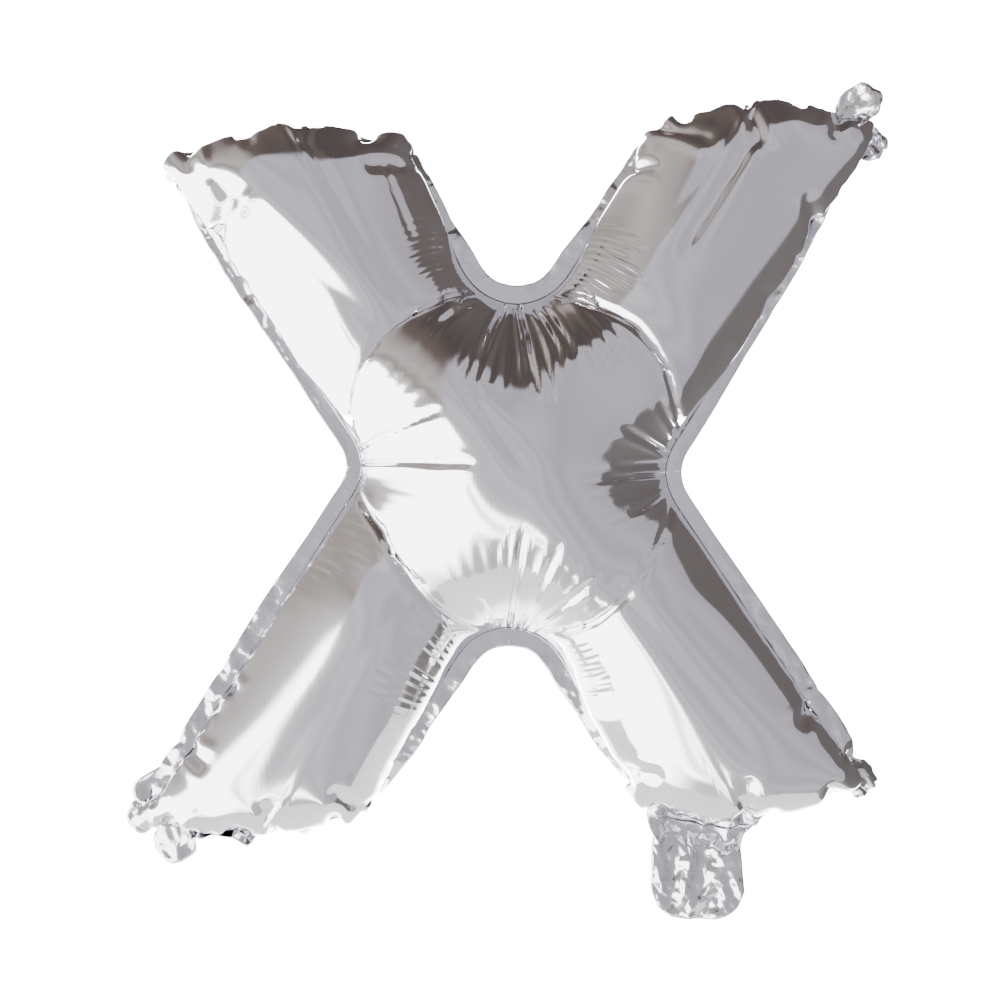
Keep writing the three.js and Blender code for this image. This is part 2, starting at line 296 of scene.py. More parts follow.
class Outline:
    """The letter's outline cut into a strip round each notch and a square in the middle, all grids of points.

    A strip runs from the tip of one arm round its notch to the tip of the next, and reaches in to both arms'
    spines. Its rows follow the weld and its columns stand square to it, as the film's pleats do.
    """

    def __init__(self, corners: dict[str, Notch], arms: tuple[Arm, ...]) -> None:
        """Lays the grids out.

        Args:
            corners: the notches by name.
            arms: the arms, clockwise from the upper right one.
        """
        even = np.linspace(0, 1, ACROSS + 1)
        self.across = EVEN_SHARE * even + CLOSER_SHARE * (1 - np.cos(np.pi * even)) / 2
        mid = (np.arange(ALONG) + 0.5) / ALONG
        step = 1 - NEAR_NOTCH[0] * np.exp(-((mid / NEAR_NOTCH[1]) ** 2))
        step = step - NEAR_TIP[0] * np.exp(-(((1 - mid) / NEAR_TIP[1]) ** 2))
        self.along = np.r_[0, np.cumsum(step)] / step.sum()
        self.notches = corners
        edges = [self.arm(arm) for arm in arms]
        parts = [[first.points[:-1], tip[:-1], second.points[:0:-1]] for first, tip, second in edges]
        self.ring = np.vstack([np.vstack(part) for part in parts])
        spines = [self.spine(*edge) for edge in edges]
        self.cores: dict[str, tuple[np.ndarray, np.ndarray]] = {}
        self.patches = {
            arm.before: self.strip(arm.before, edges[i - 1], spines[i - 1], edges[i], spines[i])
            for i, arm in enumerate(arms)
        }
        self.patches["centre"] = self.square()
        onward = np.roll(self.ring, -1, 0) - np.roll(self.ring, 1, 0)
        onward /= np.hypot(onward[:, 0], onward[:, 1])[:, None]
        self.normal = np.stack([-onward[:, 1], onward[:, 0]], 1)
        self.lay_margin(arms)

    def side(self, notch: Notch, corner: np.ndarray, beyond: np.ndarray, radius: float, bow: float) -> Side:
        """One side of an arm, from its notch's apex to the middle of its corner's rounding.

        Args:
            notch: the notch.
            corner: the side's corner on the tip.
            beyond: the tip's other corner.
            radius: radius of the corner.
            bow: how far the side stands out of straight.

        Returns:
            The side.
        """
        centre = notch.centre
        to = corner - centre
        off = math.acos(notch.radius / np.hypot(*to))
        start = bearing(-notch.outward)
        turn = min((turn_of(bearing(to) + side * off - start) for side in (1, -1)), key=abs)
        path = arc(centre, notch.radius, start, turn)
        leaves = path[-1]
        middle, begin, end = rounded(leaves, corner, beyond, radius)
        path = np.vstack([path, arc_between(middle, radius, begin, end)])
        run = run_along(path)
        out = unit(path[-1] - path[0])
        out = np.array([-out[1], out[0]])
        if out @ (beyond - corner) > 0:
            out = -out
        path = path + out[None] * (bow * np.sin(np.pi * run / run[-1]))[:, None]
        return Side(resample(path, self.along), leaves, centre)

    def arm(self, arm: Arm) -> Edges:
        """One arm's outline.

        Args:
            arm: the arm.

        Returns:
            Its first side, its tip and its second side.
        """
        first, second = np.array(arm.first, float), np.array(arm.second, float)
        one = self.side(self.notches[arm.before], first, second, arm.rounding[0], arm.bows[0])
        other = self.side(self.notches[arm.after], second, first, arm.rounding[1], arm.bows[2])
        tip = []
        centre, leaves, middle = rounded(second, first, one.leaves, arm.rounding[0])
        tip.append(arc_between(centre, arm.rounding[0], middle, leaves))
        centre, leaves, middle = rounded(first, second, other.leaves, arm.rounding[1])
        tip.append(arc_between(centre, arm.rounding[1], leaves, middle))
        tip = resample(np.vstack(tip), self.across)
        onward = unit(second - first)
        tip += np.array([-onward[1], onward[0]])[None] * (arm.bows[1] * np.sin(np.pi * self.across))[:, None]
        return one, tip, other

    def spine(self, first: Side, tip: np.ndarray, second: Side) -> np.ndarray:
        """The line up the middle of an arm, where the strips from its two sides meet.

        Args:
            first: the arm's first side.
            tip: its tip.
            second: its second side.

        Returns:
            The line's points, from the middle square out.
        """
        start = (first.points[0] + second.points[0]) / 2
        end = tip[ACROSS // 2]
        share = (first.feet(start, end) + second.feet(start, end)) / 2
        return start + (end - start) * share[:, None]

    def strip(
        self, name: str, before: Edges, spine_before: np.ndarray, after: Edges, spine_after: np.ndarray,
    ) -> np.ndarray:
        """The strip round one notch, its first row on the weld and its last on the spines and the square.

        Args:
            name: the notch's name.
            before: outline of the arm before the notch.
            spine_before: that arm's spine.
            after: outline of the arm after the notch.
            spine_after: that arm's spine.

        Returns:
            The strip's grid.
        """
        weld = np.vstack([before[2].points[:0:-1], after[0].points])
        run = np.hypot(*np.diff(after[0].points[: CORE + 1], axis=0).T).sum()
        angle = run / self.notches[name].radius
        lines = np.arange(-CORE, CORE + 1)
        swing = np.sign(lines) * np.tan(self.along[: CORE + 1] / self.along[CORE] * angle)[np.abs(lines)]
        share = (swing / swing[-1] + 1)[:, None] / 2
        core = spine_before[0] * (1 - share) + spine_after[0] * share
        self.cores[name] = core, share
        inner = np.vstack([spine_before[:0:-1], core, spine_after[1:]])
        share = 2 * self.across[: ACROSS // 2 + 1, None, None]
        grid = weld[None] * (1 - share) + inner[None] * share
        columns = np.arange(-ALONG, ALONG + 1)
        for tip, end, half in ((before[1][::-1], 0, columns < 0), (after[1], -1, columns > 0)):
            bulge = tip[: ACROSS // 2 + 1] - grid[:, end]
            grid += bulge[:, None] * (self.along[np.abs(columns)] ** 3 * half)[None, :, None]
        return grid

    def square(self) -> np.ndarray:
        """The square in the middle, between the four strips.

        Returns:
            Its grid.
        """
        (top, top_share), (right, right_share) = self.cores["top"], self.cores["right"]
        (bottom, bottom_share), (left, left_share) = self.cores["bottom"], self.cores["left"]
        bottom, left = bottom[::-1], left[::-1]
        x = ((top_share + 1 - bottom_share[::-1]) / 2)[None]
        y = ((right_share + 1 - left_share[::-1]) / 2)[:, None]
        ends = (1 - y) * ((1 - x) * top[0] + x * top[-1]) + y * ((1 - x) * bottom[0] + x * bottom[-1])
        return (1 - y) * top[None] + y * bottom[None] + (1 - x) * left[:, None] + x * right[:, None] - ends

    def lay_margin(self, arms: tuple[Arm, ...]) -> None:
        """Lays the welded margin out round the ring, a little wider at the corners, and the tail.

        Args:
            arms: the arms, clockwise from the upper right one.
        """
        count = len(self.ring)
        width = np.full(count, MARGIN_WIDTH)
        run = np.hypot(*(np.roll(self.ring, -1, 0) - self.ring).T)
        for i, arm in enumerate(arms):
            for at, corner, radius in (
                (i * PER + ALONG, arm.first, arm.rounding[0]),
                (i * PER + ALONG + ACROSS, arm.second, arm.rounding[1]),
            ):
                gap = np.hypot(*(np.array(corner) - self.ring[at % count]))
                ahead = np.cumsum(np.roll(run, count // 2 - at))
                away = np.roll(ahead - ahead[count // 2 - 1], at - count // 2)
                wider = EAR_SHARES[0] * gap * EAR_SHARES[1]
                width += wider * np.exp(-((away / (radius * EAR_REACH)) ** 2))
        share = np.linspace(0, 1, MARGIN_ROWS + 1)
        self.rings = self.ring[None] + self.normal[None] * (share[:, None] * width[None])[:, :, None]
        self.tail = self.lay_tail()

    def lay_tail(self) -> np.ndarray:
        """Lays the tail out from the margin's edge on the lower right leg down to its rounded end.

        Returns:
            Its grid.
        """
        first, last = (PER + ALONG + column for column in TAIL_COLUMNS)
        edge = self.rings[-1, first : last + 1]
        middle = (edge[0] + edge[-1]) / 2
        across = np.linspace(1, -1, len(edge))
        past = np.clip(np.abs(across) * TAIL_HALF - (TAIL_HALF - TAIL_ROUND), 0, TAIL_ROUND)
        length = TAIL_LENGTH - TAIL_ROUND + np.sqrt(np.maximum(TAIL_ROUND**2 - past**2, 4.0))
        low = np.stack([middle[0] + across * TAIL_HALF, middle[1] - length], 1)
        down = np.linspace(0, 1, TAIL_ROWS + 1)[:, None, None]
        ease = np.minimum(1, down * 3)
        grid = edge[None] * (1 - down) + low[None] * down
        grid[:, :, 0] = edge[None, :, 0] * (1 - ease[:, :, 0]) + low[None, :, 0] * ease[:, :, 0]
        return grid

    def area(self) -> float:
        """Area inside the ring, in square millimetres."""
        x, z = self.ring.T
        return abs(float(np.sum(x * np.roll(z, -1) - z * np.roll(x, -1)))) / 2


class Layer(Enum):
    """Where a point of the cloth is."""

    FRONT = 1
    BACK = -1
    WELD = 0
    MARGIN = 2

    @property
    def sheet(self) -> str:
        """Name of the film in the names of its grids."""
        return self.name.lower()


FILMS = (Layer.FRONT, Layer.BACK)


@dataclass
class Mesh:
    """The cloth at one fineness: flat points, layers, faces, the layer of each face, and the grids."""

    flat: np.ndarray
    layer: np.ndarray
    faces: np.ndarray
    tags: np.ndarray
    grids: dict[str, np.ndarray]

    @classmethod
    def of(cls, cut: Outline, step: int, margin_step: int) -> "Mesh":
        """Takes every step-th line of the grids and joins what meets.

        Args:
            cut: the flat cut.
            step: lines from one to the next.
            margin_step: rows of the margin from one to the next.

        Returns:
            The cloth's mesh.
        """
        welded = {(round(x * PER_MM), round(z * PER_MM)) for x, z in cut.ring}
        blocks = []
        for layer in FILMS:
            for name, patch in cut.patches.items():
                part = patch[::step, ::step]
                on = [[(round(x * PER_MM), round(z * PER_MM)) in welded for x, z in row] for row in part]
                layers = np.where(on, Layer.WELD.value, layer.value)
                blocks.append((f"{layer.sheet}.{name}", part, layers))
        part = cut.rings[::margin_step, ::step]
        value = np.full(part.shape[:2], Layer.MARGIN.value)
        value[0] = Layer.WELD.value
        blocks.append(("margin", part, value))
        part = cut.tail[::step, ::step]
        blocks.append(("tail", part, np.full(part.shape[:2], Layer.MARGIN.value)))
        every = np.vstack([np.c_[part.reshape(-1, 2), layers.ravel()] for _, part, layers in blocks])
        key = np.round(every * [PER_MM, PER_MM, 1]).astype(np.int64)
        _, first, inverse = np.unique(key, axis=0, return_index=True, return_inverse=True)
        inverse = inverse.reshape(-1)
        at, faces, tags, grids = 0, [], [], {}
        for name, part, _ in blocks:
            count = part.shape[0] * part.shape[1]
            ids = inverse[at : at + count].reshape(part.shape[:2])
            at += count
            grids[name] = ids
            made = quads(np.concatenate([ids, ids[:, :1]], 1) if name == "margin" else ids)
            if name.startswith(Layer.FRONT.sheet):
                made = made[:, ::-1]
            faces.append(made)
            films = {layer.sheet: layer.value for layer in FILMS}
            tags.append(np.full(len(made), films.get(name.split(".")[0], Layer.MARGIN.value)))
        flat, layer = every[first, :2], every[first, 2].astype(int)
        return cls(flat, layer, np.vstack(faces), np.concatenate(tags), grids)


def doubled(grid: np.ndarray, closed: bool = False) -> np.ndarray:
    """Puts a point midway between each two of a grid, by the four-point cubic rule.

    Args:
        grid: the grid of points.
        closed: the rows run round in a ring.

    Returns:
        The finer grid.
    """

    def along(rows: np.ndarray) -> np.ndarray:
        """Puts a row midway between each two."""
        finer = np.zeros((2 * len(rows) - 1,) + rows.shape[1:])
        finer[::2] = rows
        middle = (rows[1:] + rows[:-1]) / 2
        if len(rows) > 3:
            middle[1:-1] = (9 * (rows[1:-2] + rows[2:-1]) - rows[:-3] - rows[3:]) / 16
        finer[1::2] = middle
        return finer

    def across(lines: np.ndarray) -> np.ndarray:
        """The same for the columns."""
        return along(lines.transpose(1, 0, 2)).transpose(1, 0, 2)

    if closed:
        longer = across(np.concatenate([grid[:, -2:], grid, grid[:, :3]], 1))
        return along(longer[:, 4 : 4 + 2 * grid.shape[1]])
    return across(along(grid))


@dataclass(frozen=True)
class Fineness:
    """One run of the simulation: which grid lines it takes, how long it runs and what holds it."""

    step: int
    margin_step: int
    frames: int
    weld_hold: float
    edge_hold: float
    tail_hold: float
    bending: float
    noise: float


# The runs take every eighth, every fourth and every second line of the grids.
RUNS = (
    Fineness(8, 4, 30, 0.0, 0.0, 0.5, 0.3, 0.05),
    Fineness(4, 4, 20, 0.35, 0.15, 0.5, 0.3, 0.05),
    Fineness(2, 2, 14, 0.35, 0.15, 0.4, 0.1, 0.02),
)


def strip_columns(index: int) -> np.ndarray:
    """Points of the ring that the columns of the strip round a notch start from."""
    return (index * PER + np.arange(-ALONG, ALONG + 1)) % AROUND


def half_tips(index: int, rows: int) -> list[tuple[int, int, np.ndarray]]:
    """The two half tips that a strip ends at.

    Args:
        index: number of the arm after the strip's notch.
        rows: rows of the strip.

    Returns:
        For each half tip its arm's number, the strip's column there, and its points along the tip.
    """
    inward = np.arange(rows)
    return [(index, -1, inward), ((index - 1) % len(FLAT_ARMS), 0, ACROSS - inward)]


def from_side(flat: np.ndarray) -> np.ndarray:
    """Distance of each point of a flat strip from the weld that its column starts from."""
    return np.linalg.norm(flat - flat[:1], axis=2)


def from_tip(flat: np.ndarray, end: int) -> np.ndarray:
    """Distance of each point of a flat strip from the tip at one of its ends."""
    return np.linalg.norm(flat - flat[:, end][:, None], axis=2)


def swell(size: np.ndarray | float, depth: np.ndarray) -> np.ndarray:
    """Grows from 0 at depth 0 to its size at depth 1 and fades out beyond it."""
    return size * depth * np.exp(1 - depth)


# Where the edge of the margin lies flat: round the left notch and down the right of the lower right arm.
FLAT_EDGES = ((3 * PER - ALONG + 4, 3 * PER + ALONG - 8), (PER + 8, PER + ALONG - 8))
# Distance from the weld that stands for the middle square, in millimetres.
FAR = 50.0
# The crease is looked for every so many degrees, and at these distances from the centre.
CREASE_ANGLES = np.arange(0, 360, 6)
CREASE_RADII = np.arange(62, 98, 2.0)
CREASE_MIN_HEIGHT = 20
# Rounds of ironing beside a notch along x, y and z, and where on the weld it has faded out.
IRON_ROUNDS = (140, 420, 140)
IRON_END = 80
# Rounds of smoothing along the crease, where it meets the weld, inside it and outside it.
AT_CREASE, AT_ITS_ENDS, INSIDE, OUTSIDE = 110, 140, 50, 12
ALL_AXES = (0, 1, 2)
DEPTH_AXIS = (1,)


@dataclass
class Inflation:
    """Fills the flat cut by cloth simulation and keeps the points of the full balloon."""

    cut: Outline
    full: Outline
    scale: float = 10.0
    pressure: float = 5.0
    mass: float = 0.1
    tension: float = 60.0
    compression: float = 2.0
    shear: float = 30.0
    damping: float = 3.0
    bending_damping: float = 0.5
    air_damping: float = 2.0
    quality: int = 8
    let_go: int = 5
    apart: float = 0.003
    first_seed: int = 3
    points: np.ndarray = field(default_factory=lambda: np.zeros((0, 3)))
    mesh: Mesh | None = None

    def fill(self, runs: tuple[Fineness, ...]) -> None:
        """Runs the simulation from coarse to fine.

        Args:
            runs: the runs, each twice as fine as the one before or equal to it.
        """
        for index, run in enumerate(runs):
            mesh = Mesh.of(self.cut, run.step, run.margin_step)
            rest = np.zeros((len(mesh.flat), 3))
            rest[:, [0, 2]] = mesh.flat * MM
            start = self.start(mesh, rest)
            start += np.random.default_rng(index + self.first_seed).normal(0, run.noise * MM, start.shape)
            ring = mesh.grids["margin"][0]
            weld = self.lifted(self.full.ring[:: run.step])
            holds = self.holds(mesh, run)
            for ids, places, _ in holds:
                start[ids] = places
            self.points = self.settle(mesh, rest, start, run, holds)
            self.mesh = mesh
            off = np.linalg.norm(self.points[ring] - weld, axis=1)
            LOG.info("filled at step %d: weld line %.1f mm off in the mean", run.step, off.mean() / MM)

    @staticmethod
    def lifted(flat: np.ndarray) -> np.ndarray:
        """Points of the weld plane in metres."""
        points = np.zeros((len(flat), 3))
        points[:, [0, 2]] = flat * MM
        return points

    def holds(self, mesh: Mesh, run: Fineness) -> list[Hold]:
        """What is softly held in a run.

        Args:
            mesh: the cloth.
            run: the run's settings.

        Returns:
            For each held part its point numbers, their places and how firmly they are held.
        """
        out = []
        if run.weld_hold:
            out.append((mesh.grids["margin"][0], self.lifted(self.full.ring[:: run.step]), run.weld_hold))
        if run.edge_hold:
            for first, last in FLAT_EDGES:
                columns = np.arange(first, last)
                columns = columns[columns % run.step == 0]
                ids = mesh.grids["margin"][-1][columns // run.step]
                out.append((ids, self.lifted(self.full.rings[-1][columns]), run.edge_hold))
        if run.tail_hold:
            tail = mesh.grids["tail"]
            full = self.full.tail[:: run.step, :: run.step].copy()
            edge = np.concatenate([tail[2:-1, 0], tail[2:-1, -1], tail[-1]])
            places = np.concatenate([full[2:-1, 0], full[2:-1, -1], full[-1]])
            out.append((edge, self.lifted(places), run.tail_hold))
        return out

    def refine(self) -> None:
        """Takes the filled shape to the finest grids, ready for its pleats and folds."""
        step = 2 * CORE // (len(self.mesh.grids["front.centre"]) - 1)
        while step > 1:
            step //= 2
            finer = Mesh.of(self.cut, step, step)
            self.points = self.start(finer, finer.flat)
            self.mesh = finer

    def strips(self, *layers: Layer) -> Iterator[tuple[int, np.ndarray, np.ndarray]]:
        """Goes through the strips of one or both films.

        Args:
            layers: the films.

        Yields:
            The number of the arm after the strip's notch, its point numbers and its flat points.
        """
        for layer in layers:
            for index, arm in enumerate(FLAT_ARMS):
                grid = self.mesh.grids[f"{layer.sheet}.{arm.before}"]
                yield index, grid, self.mesh.flat[grid]

    def reach(self, layer: Layer) -> np.ndarray:
        """How far each point of a film is from the weld on the flat cut.

        Args:
            layer: the film.

        Returns:
            The distances of all points, which are FAR in the middle square and off the film.
        """
        reach = np.full(len(self.mesh.flat), FAR)
        for _, grid, flat in self.strips(layer):
            for edge in (flat[:1], flat[:, :1], flat[:, -1:]):
                reach[grid] = np.minimum(reach[grid], np.linalg.norm(flat - edge, axis=2))
        return reach

    def places(self, index: int) -> np.ndarray:
        """Place of each column of a strip along the weld of the full balloon, from the notch's apex."""
        run = run_along(self.full.ring[strip_columns(index)])
        return run - run[ALONG]

    def tip_places(self, arm: int) -> np.ndarray:
        """Place of each point of a tip's weld along it, from its first corner."""
        first = arm * PER + ALONG
        return run_along(self.full.ring[first : first + ACROSS + 1])

    def seen(self) -> np.ndarray:
        """The points in the front view, in millimetres."""
        return self.points[:, [0, 2]] / MM

    def polar(self) -> tuple[np.ndarray, np.ndarray]:
        """Each point's distance from the letter's centre and its angle in degrees, in the front view."""
        x, z = self.seen().T
        return np.hypot(x, z), np.degrees(np.arctan2(z, x)) % 360

    def from_crease(self) -> np.ndarray:
        """How far each point is outside the crease round the middle, below zero inside it."""
        far, angle = self.polar()
        return far - np.interp(angle, *CREASE, period=360)

    def valley(self) -> tuple[np.ndarray, np.ndarray]:
        """Where the filled front film dips round the middle.

        Returns:
            Angles in degrees, and the distance from the letter's centre at each.
        """
        far, angle = self.polar()
        front = self.mesh.layer == Layer.FRONT.value
        height = -self.points[:, 1] / MM
        found = np.full(len(CREASE_ANGLES), np.nan)
        for i, a in enumerate(CREASE_ANGLES):
            near = front & (np.abs((angle - a + 180) % 360 - 180) < 3)
            tops = [height[near & (np.abs(far - r) < 1.6)].max(initial=-1) for r in CREASE_RADII]
            for j in range(2, len(CREASE_RADII) - 2):
                if tops[j] > CREASE_MIN_HEIGHT and tops[j] == min(tops[j - 2 : j + 3]):
                    found[i] = CREASE_RADII[j]
                    break
        known = ~np.isnan(found)
        found = np.interp(CREASE_ANGLES, CREASE_ANGLES[known], found[known], period=360)
        for _ in range(3):
            found = (np.roll(found, 1) + 2 * found + np.roll(found, -1)) / 4
        return CREASE_ANGLES, found

    def shift_crease(self, inner: float = 34.0, outer: float = 30.0) -> None:
        """Moves the crease round the middle out to where it is seen, and irons the films on both sides of it.

        Args:
            inner: how far inside the crease the film comes along, in millimetres.
            outer: how far outside it.
        """
        far, angle = self.polar()
        was = np.interp(angle, *self.valley(), period=360)
        goal = np.interp(angle, *CREASE, period=360)
        wide = np.where(far < was, inner, outer)
        move = (goal - was) * np.exp(-(((far - was) / wide) ** 2))
        from_notch = np.abs((angle + 45) % 90 - 45)
        move *= np.minimum(1, self.inland() / 16) * rise(from_notch, 9, 12)
        turn = np.radians(angle)
        self.points[:, 0] += move * np.cos(turn) * MM
        self.points[:, 2] += move * np.sin(turn) * MM
        self.iron_fans()
        off, inland = self.from_crease(), self.inland()
        at_crease = np.exp(-((off / 16) ** 2)) * rise(inland, 2, 10)
        at_its_ends = np.exp(-((off / 13) ** 2) - (inland / 16) ** 2) * rise(inland, 0.2, 1.5)
        self.relax(at_crease, AT_CREASE, DEPTH_AXIS)
        self.relax(at_its_ends, AT_ITS_ENDS)
        self.relax(rise(-off, 2, 8) * rise(inland, 3, 8), INSIDE)
        self.relax(rise(off, 2, 8) * rise(inland, 8, 10), OUTSIDE)

    def inland(self) -> np.ndarray:
        """How far each point of the films is from the weld on the flat cut, 0 on the margin and the tail."""
        on_film = np.isin(self.mesh.layer, [layer.value for layer in FILMS])
        return np.minimum(*(self.reach(layer) for layer in FILMS)) * on_film

    def iron_fans(self) -> None:
        """Irons the folds out that run in from the notches, for the pleats to take their place."""
        away = rise(np.abs(self.from_crease()), 1, 4)
        for index, grid, _ in self.strips(*FILMS):
            rows = np.arange(len(grid))[:, None]
            share = away[grid] * rise(rows, 0, 4) * rise(len(grid) - 1 - rows, 0, 6)
            share = share * rise(IRON_END - np.abs(self.places(index)), 0, 20)[None]
            for axis, rounds in enumerate(IRON_ROUNDS):
                value = self.points[grid, axis]
                for _ in range(rounds):
                    mean = (value[:, :-2] + 2 * value[:, 1:-1] + value[:, 2:]) / 4
                    value[:, 1:-1] += (mean - value[:, 1:-1]) * share[:, 1:-1]
                self.points[grid, axis] = value

    def relax(self, share: np.ndarray, rounds: int, axes: tuple[int, ...] = ALL_AXES) -> None:
        """Moves points towards the mean of their neighbours.

        Args:
            share: how much each point moves in a round, 0 to 1.
            rounds: how many rounds.
            axes: which coordinates move.
        """
        faces = self.mesh.faces[self.mesh.tags != Layer.MARGIN.value]
        pairs = np.sort(np.vstack([faces[:, [i, (i + 1) % 4]] for i in range(4)]), 1)
        a, b = np.unique(pairs, axis=0).T
        count = len(self.points)
        ends = np.maximum(np.bincount(a, minlength=count) + np.bincount(b, minlength=count), 1)
        for axis in axes:
            value = self.points[:, axis].copy()
            for _ in range(rounds):
                total = np.bincount(a, value[b], count) + np.bincount(b, value[a], count)
                value += (total / ends - value) * share
            self.points[:, axis] = value

    def even_weld(self, share: float = 0.8, reach: float = 12.0) -> None:
        """Brings the weld near its measured line, and the film, the margin and the tail beside it along.

        Args:
            share: how much of the way the weld goes.
            reach: how far in the film comes along, in millimetres.
        """
        ring = self.mesh.grids["margin"][0]
        move = (self.lifted(self.full.ring) - self.points[ring]) * share
        shift = np.zeros_like(self.points)
        for index, grid, flat in self.strips(*FILMS):
            weight = np.exp(-from_side(flat) / reach)[:, :, None]
            total = move[strip_columns(index)][None] * weight
            for arm, end, points in half_tips(index, len(grid)):
                near = np.exp(-from_tip(flat, end) / reach)[:, :, None]
                total = total + move[arm * PER + ALONG + points][:, None] * near
                weight = weight + near
            shift[grid] = total / np.maximum(weight, 1)
        shift[self.mesh.grids["margin"]] = move[None]
        tail = self.mesh.grids["tail"]
        down = np.linspace(1, 0, len(tail))[:, None, None]
        shift[tail] = shift[tail[:1]] * down
        self.points += shift

    def bulge(self) -> None:
        """Lets the films bulge out over the weld along the arms, less at the pinches."""
        pinched = np.ones(len(self.points))
        for fold in PINCHES:
            away = np.linalg.norm(self.seen() - np.array(fold.start), axis=1)
            pinched = np.minimum(pinched, 1 - PINCHED[0] * np.exp(-((away / PINCHED[1]) ** 2)))
        move, fuller = np.zeros((len(self.points), 2)), np.zeros(len(self.points))
        normal = self.full.normal
        for index, grid, flat in self.strips(*FILMS):
            name = FLAT_ARMS[index].before
            size = LAYS[name].at(self.places(index), Laid.BULGE)
            depth = from_side(flat) / PEAK
            move[grid] = normal[strip_columns(index)][None] * swell(size, depth)[:, :, None]
            before, after = FULLER[name]
            sides = np.interp(self.places(index), FULLER_PLACES, (before, 0, 0, after))
            fuller[grid] += swell(sides[None], depth)
            for arm, end, points in half_tips(index, len(grid)):
                size = LAYS[FLAT_ARMS[arm].name].at(self.tip_places(arm)[points], Laid.BULGE)[:, None]
                depth = from_tip(flat, end) / PEAK
                out = normal[arm * PER + ALONG + points][:, None]
                move[grid] += out * swell(size, depth)[:, :, None]
                fuller[grid] += swell(FULLER_TIP, depth)
        self.points[:, [0, 2]] += move * pinched[:, None] * MM
        self.points[:, 1] *= 1 + fuller

    def start(self, mesh: Mesh, rest: np.ndarray) -> np.ndarray:
        """Where a run starts.

        Args:
            mesh: the cloth.
            rest: its flat points.

        Returns:
            The points of the flat cut, with the films a little apart, or of the coarser run's shape.
        """
        if self.mesh is None:
            start = rest.copy()
            back = np.where(mesh.layer == Layer.BACK.value, self.apart, 0.0)
            start[:, 1] = np.where(mesh.layer == Layer.FRONT.value, -self.apart, back)
            return start
        start = np.zeros((len(mesh.flat), 3))
        for name in ["margin", "tail"] + [k for k in mesh.grids if "." in k]:
            finer = doubled(self.points[self.mesh.grids[name]], closed=name == "margin")
            grid = mesh.grids[name]
            start[grid] = finer if finer.shape[0] == grid.shape[0] else finer[::2]
        return start

    def settle(
        self, mesh: Mesh, rest: np.ndarray, start: np.ndarray, run: Fineness, holds: list[Hold],
    ) -> np.ndarray:
        """Lets the cloth go from a start shape with the flat cut's lengths.

        The solver takes its lengths from the first frame, so the mesh is flat there. Every point is
        then held while a shape key carries it to the start shape, and let go at the frame let_go.

        Args:
            mesh: the cloth.
            rest: its flat points.
            start: the points that it starts from.
            run: the run's settings.
            holds: what is softly held.

        Returns:
            The settled points, in metres.
        """
        count = len(rest)
        data = bpy.data.meshes.new("trial")
        data.from_pydata((rest * self.scale).tolist(), [], mesh.faces.tolist())
        cloth = bpy.data.objects.new("trial", data)
        bpy.context.scene.collection.objects.link(cloth)
        cloth.shape_key_add(name="Basis")
        key = cloth.shape_key_add(name="start", from_mix=False)
        key.data.foreach_set("co", (start * self.scale).astype(np.float32).ravel())
        for frame, value in ((1, 0.0), (2, 1.0)):
            key.value = value
            key.keyframe_insert("value", frame=frame)
        inside = np.where(mesh.layer != Layer.MARGIN.value)[0].tolist()
        cloth.vertex_groups.new(name="filled").add(inside, 1.0, "REPLACE")
        held = cloth.vertex_groups.new(name="held")
        for ids, _, weight in holds:
            held.add(ids.tolist(), weight, "REPLACE")
        cloth.vertex_groups.new(name="all").add(list(range(count)), 1.0, "REPLACE")
        mix = cloth.modifiers.new("hold", "VERTEX_WEIGHT_MIX")
        mix.vertex_group_a, mix.vertex_group_b, mix.mix_mode, mix.mix_set = "held", "all", "SET", "ALL"
        for frame, value in ((1, 1.0), (self.let_go - 1, 1.0), (self.let_go, 0.0)):
            mix.mask_constant = value
            mix.keyframe_insert("mask_constant", frame=frame)
        for owner in (cloth, data.shape_keys):
            if owner.animation_data and owner.animation_data.action:
                for curve in owner.animation_data.action.fcurves:
                    for point in curve.keyframe_points:
                        point.interpolation = "CONSTANT"
        self.make_cloth(cloth, run)
        scene = bpy.context.scene
        for frame in range(1, run.frames + self.let_go):
            scene.frame_set(frame)
        shown = cloth.evaluated_get(bpy.context.evaluated_depsgraph_get())
        flat = np.zeros(count * 3, np.float32)
        shown.data.vertices.foreach_get("co", flat)
        scene.frame_set(1)
        bpy.data.objects.remove(cloth)
        bpy.data.meshes.remove(data)
        return flat.reshape(-1, 3).astype(float) / self.scale

    def make_cloth(self, cloth: bpy.types.Object, run: Fineness) -> None:
        """Gives the trial mesh its Cloth modifier.

        Args:
            cloth: the trial mesh.
            run: the run's settings.
        """
        modifier = cloth.modifiers.new("Cloth", "CLOTH")
        settings = modifier.settings
        settings.vertex_group_mass = "held"
        settings.quality = self.quality
        settings.mass = self.mass
        settings.tension_stiffness = self.tension
        settings.compression_stiffness = self.compression
        settings.shear_stiffness = self.shear
        settings.bending_stiffness = run.bending
        settings.tension_damping = self.damping
        settings.compression_damping = self.damping
        settings.shear_damping = self.damping
        settings.bending_damping = self.bending_damping
        settings.air_damping = self.air_damping
        settings.bending_model = "ANGULAR"
        settings.use_pressure = True
        settings.uniform_pressure_force = self.pressure
        settings.vertex_group_pressure = "filled"
        settings.effector_weights.gravity = 0
        modifier.collision_settings.use_collision = False
        modifier.point_cache.frame_start = 1
        modifier.point_cache.frame_end = run.frames + self.let_go + 1


# Pleats and folds, in millimetres in the front view.


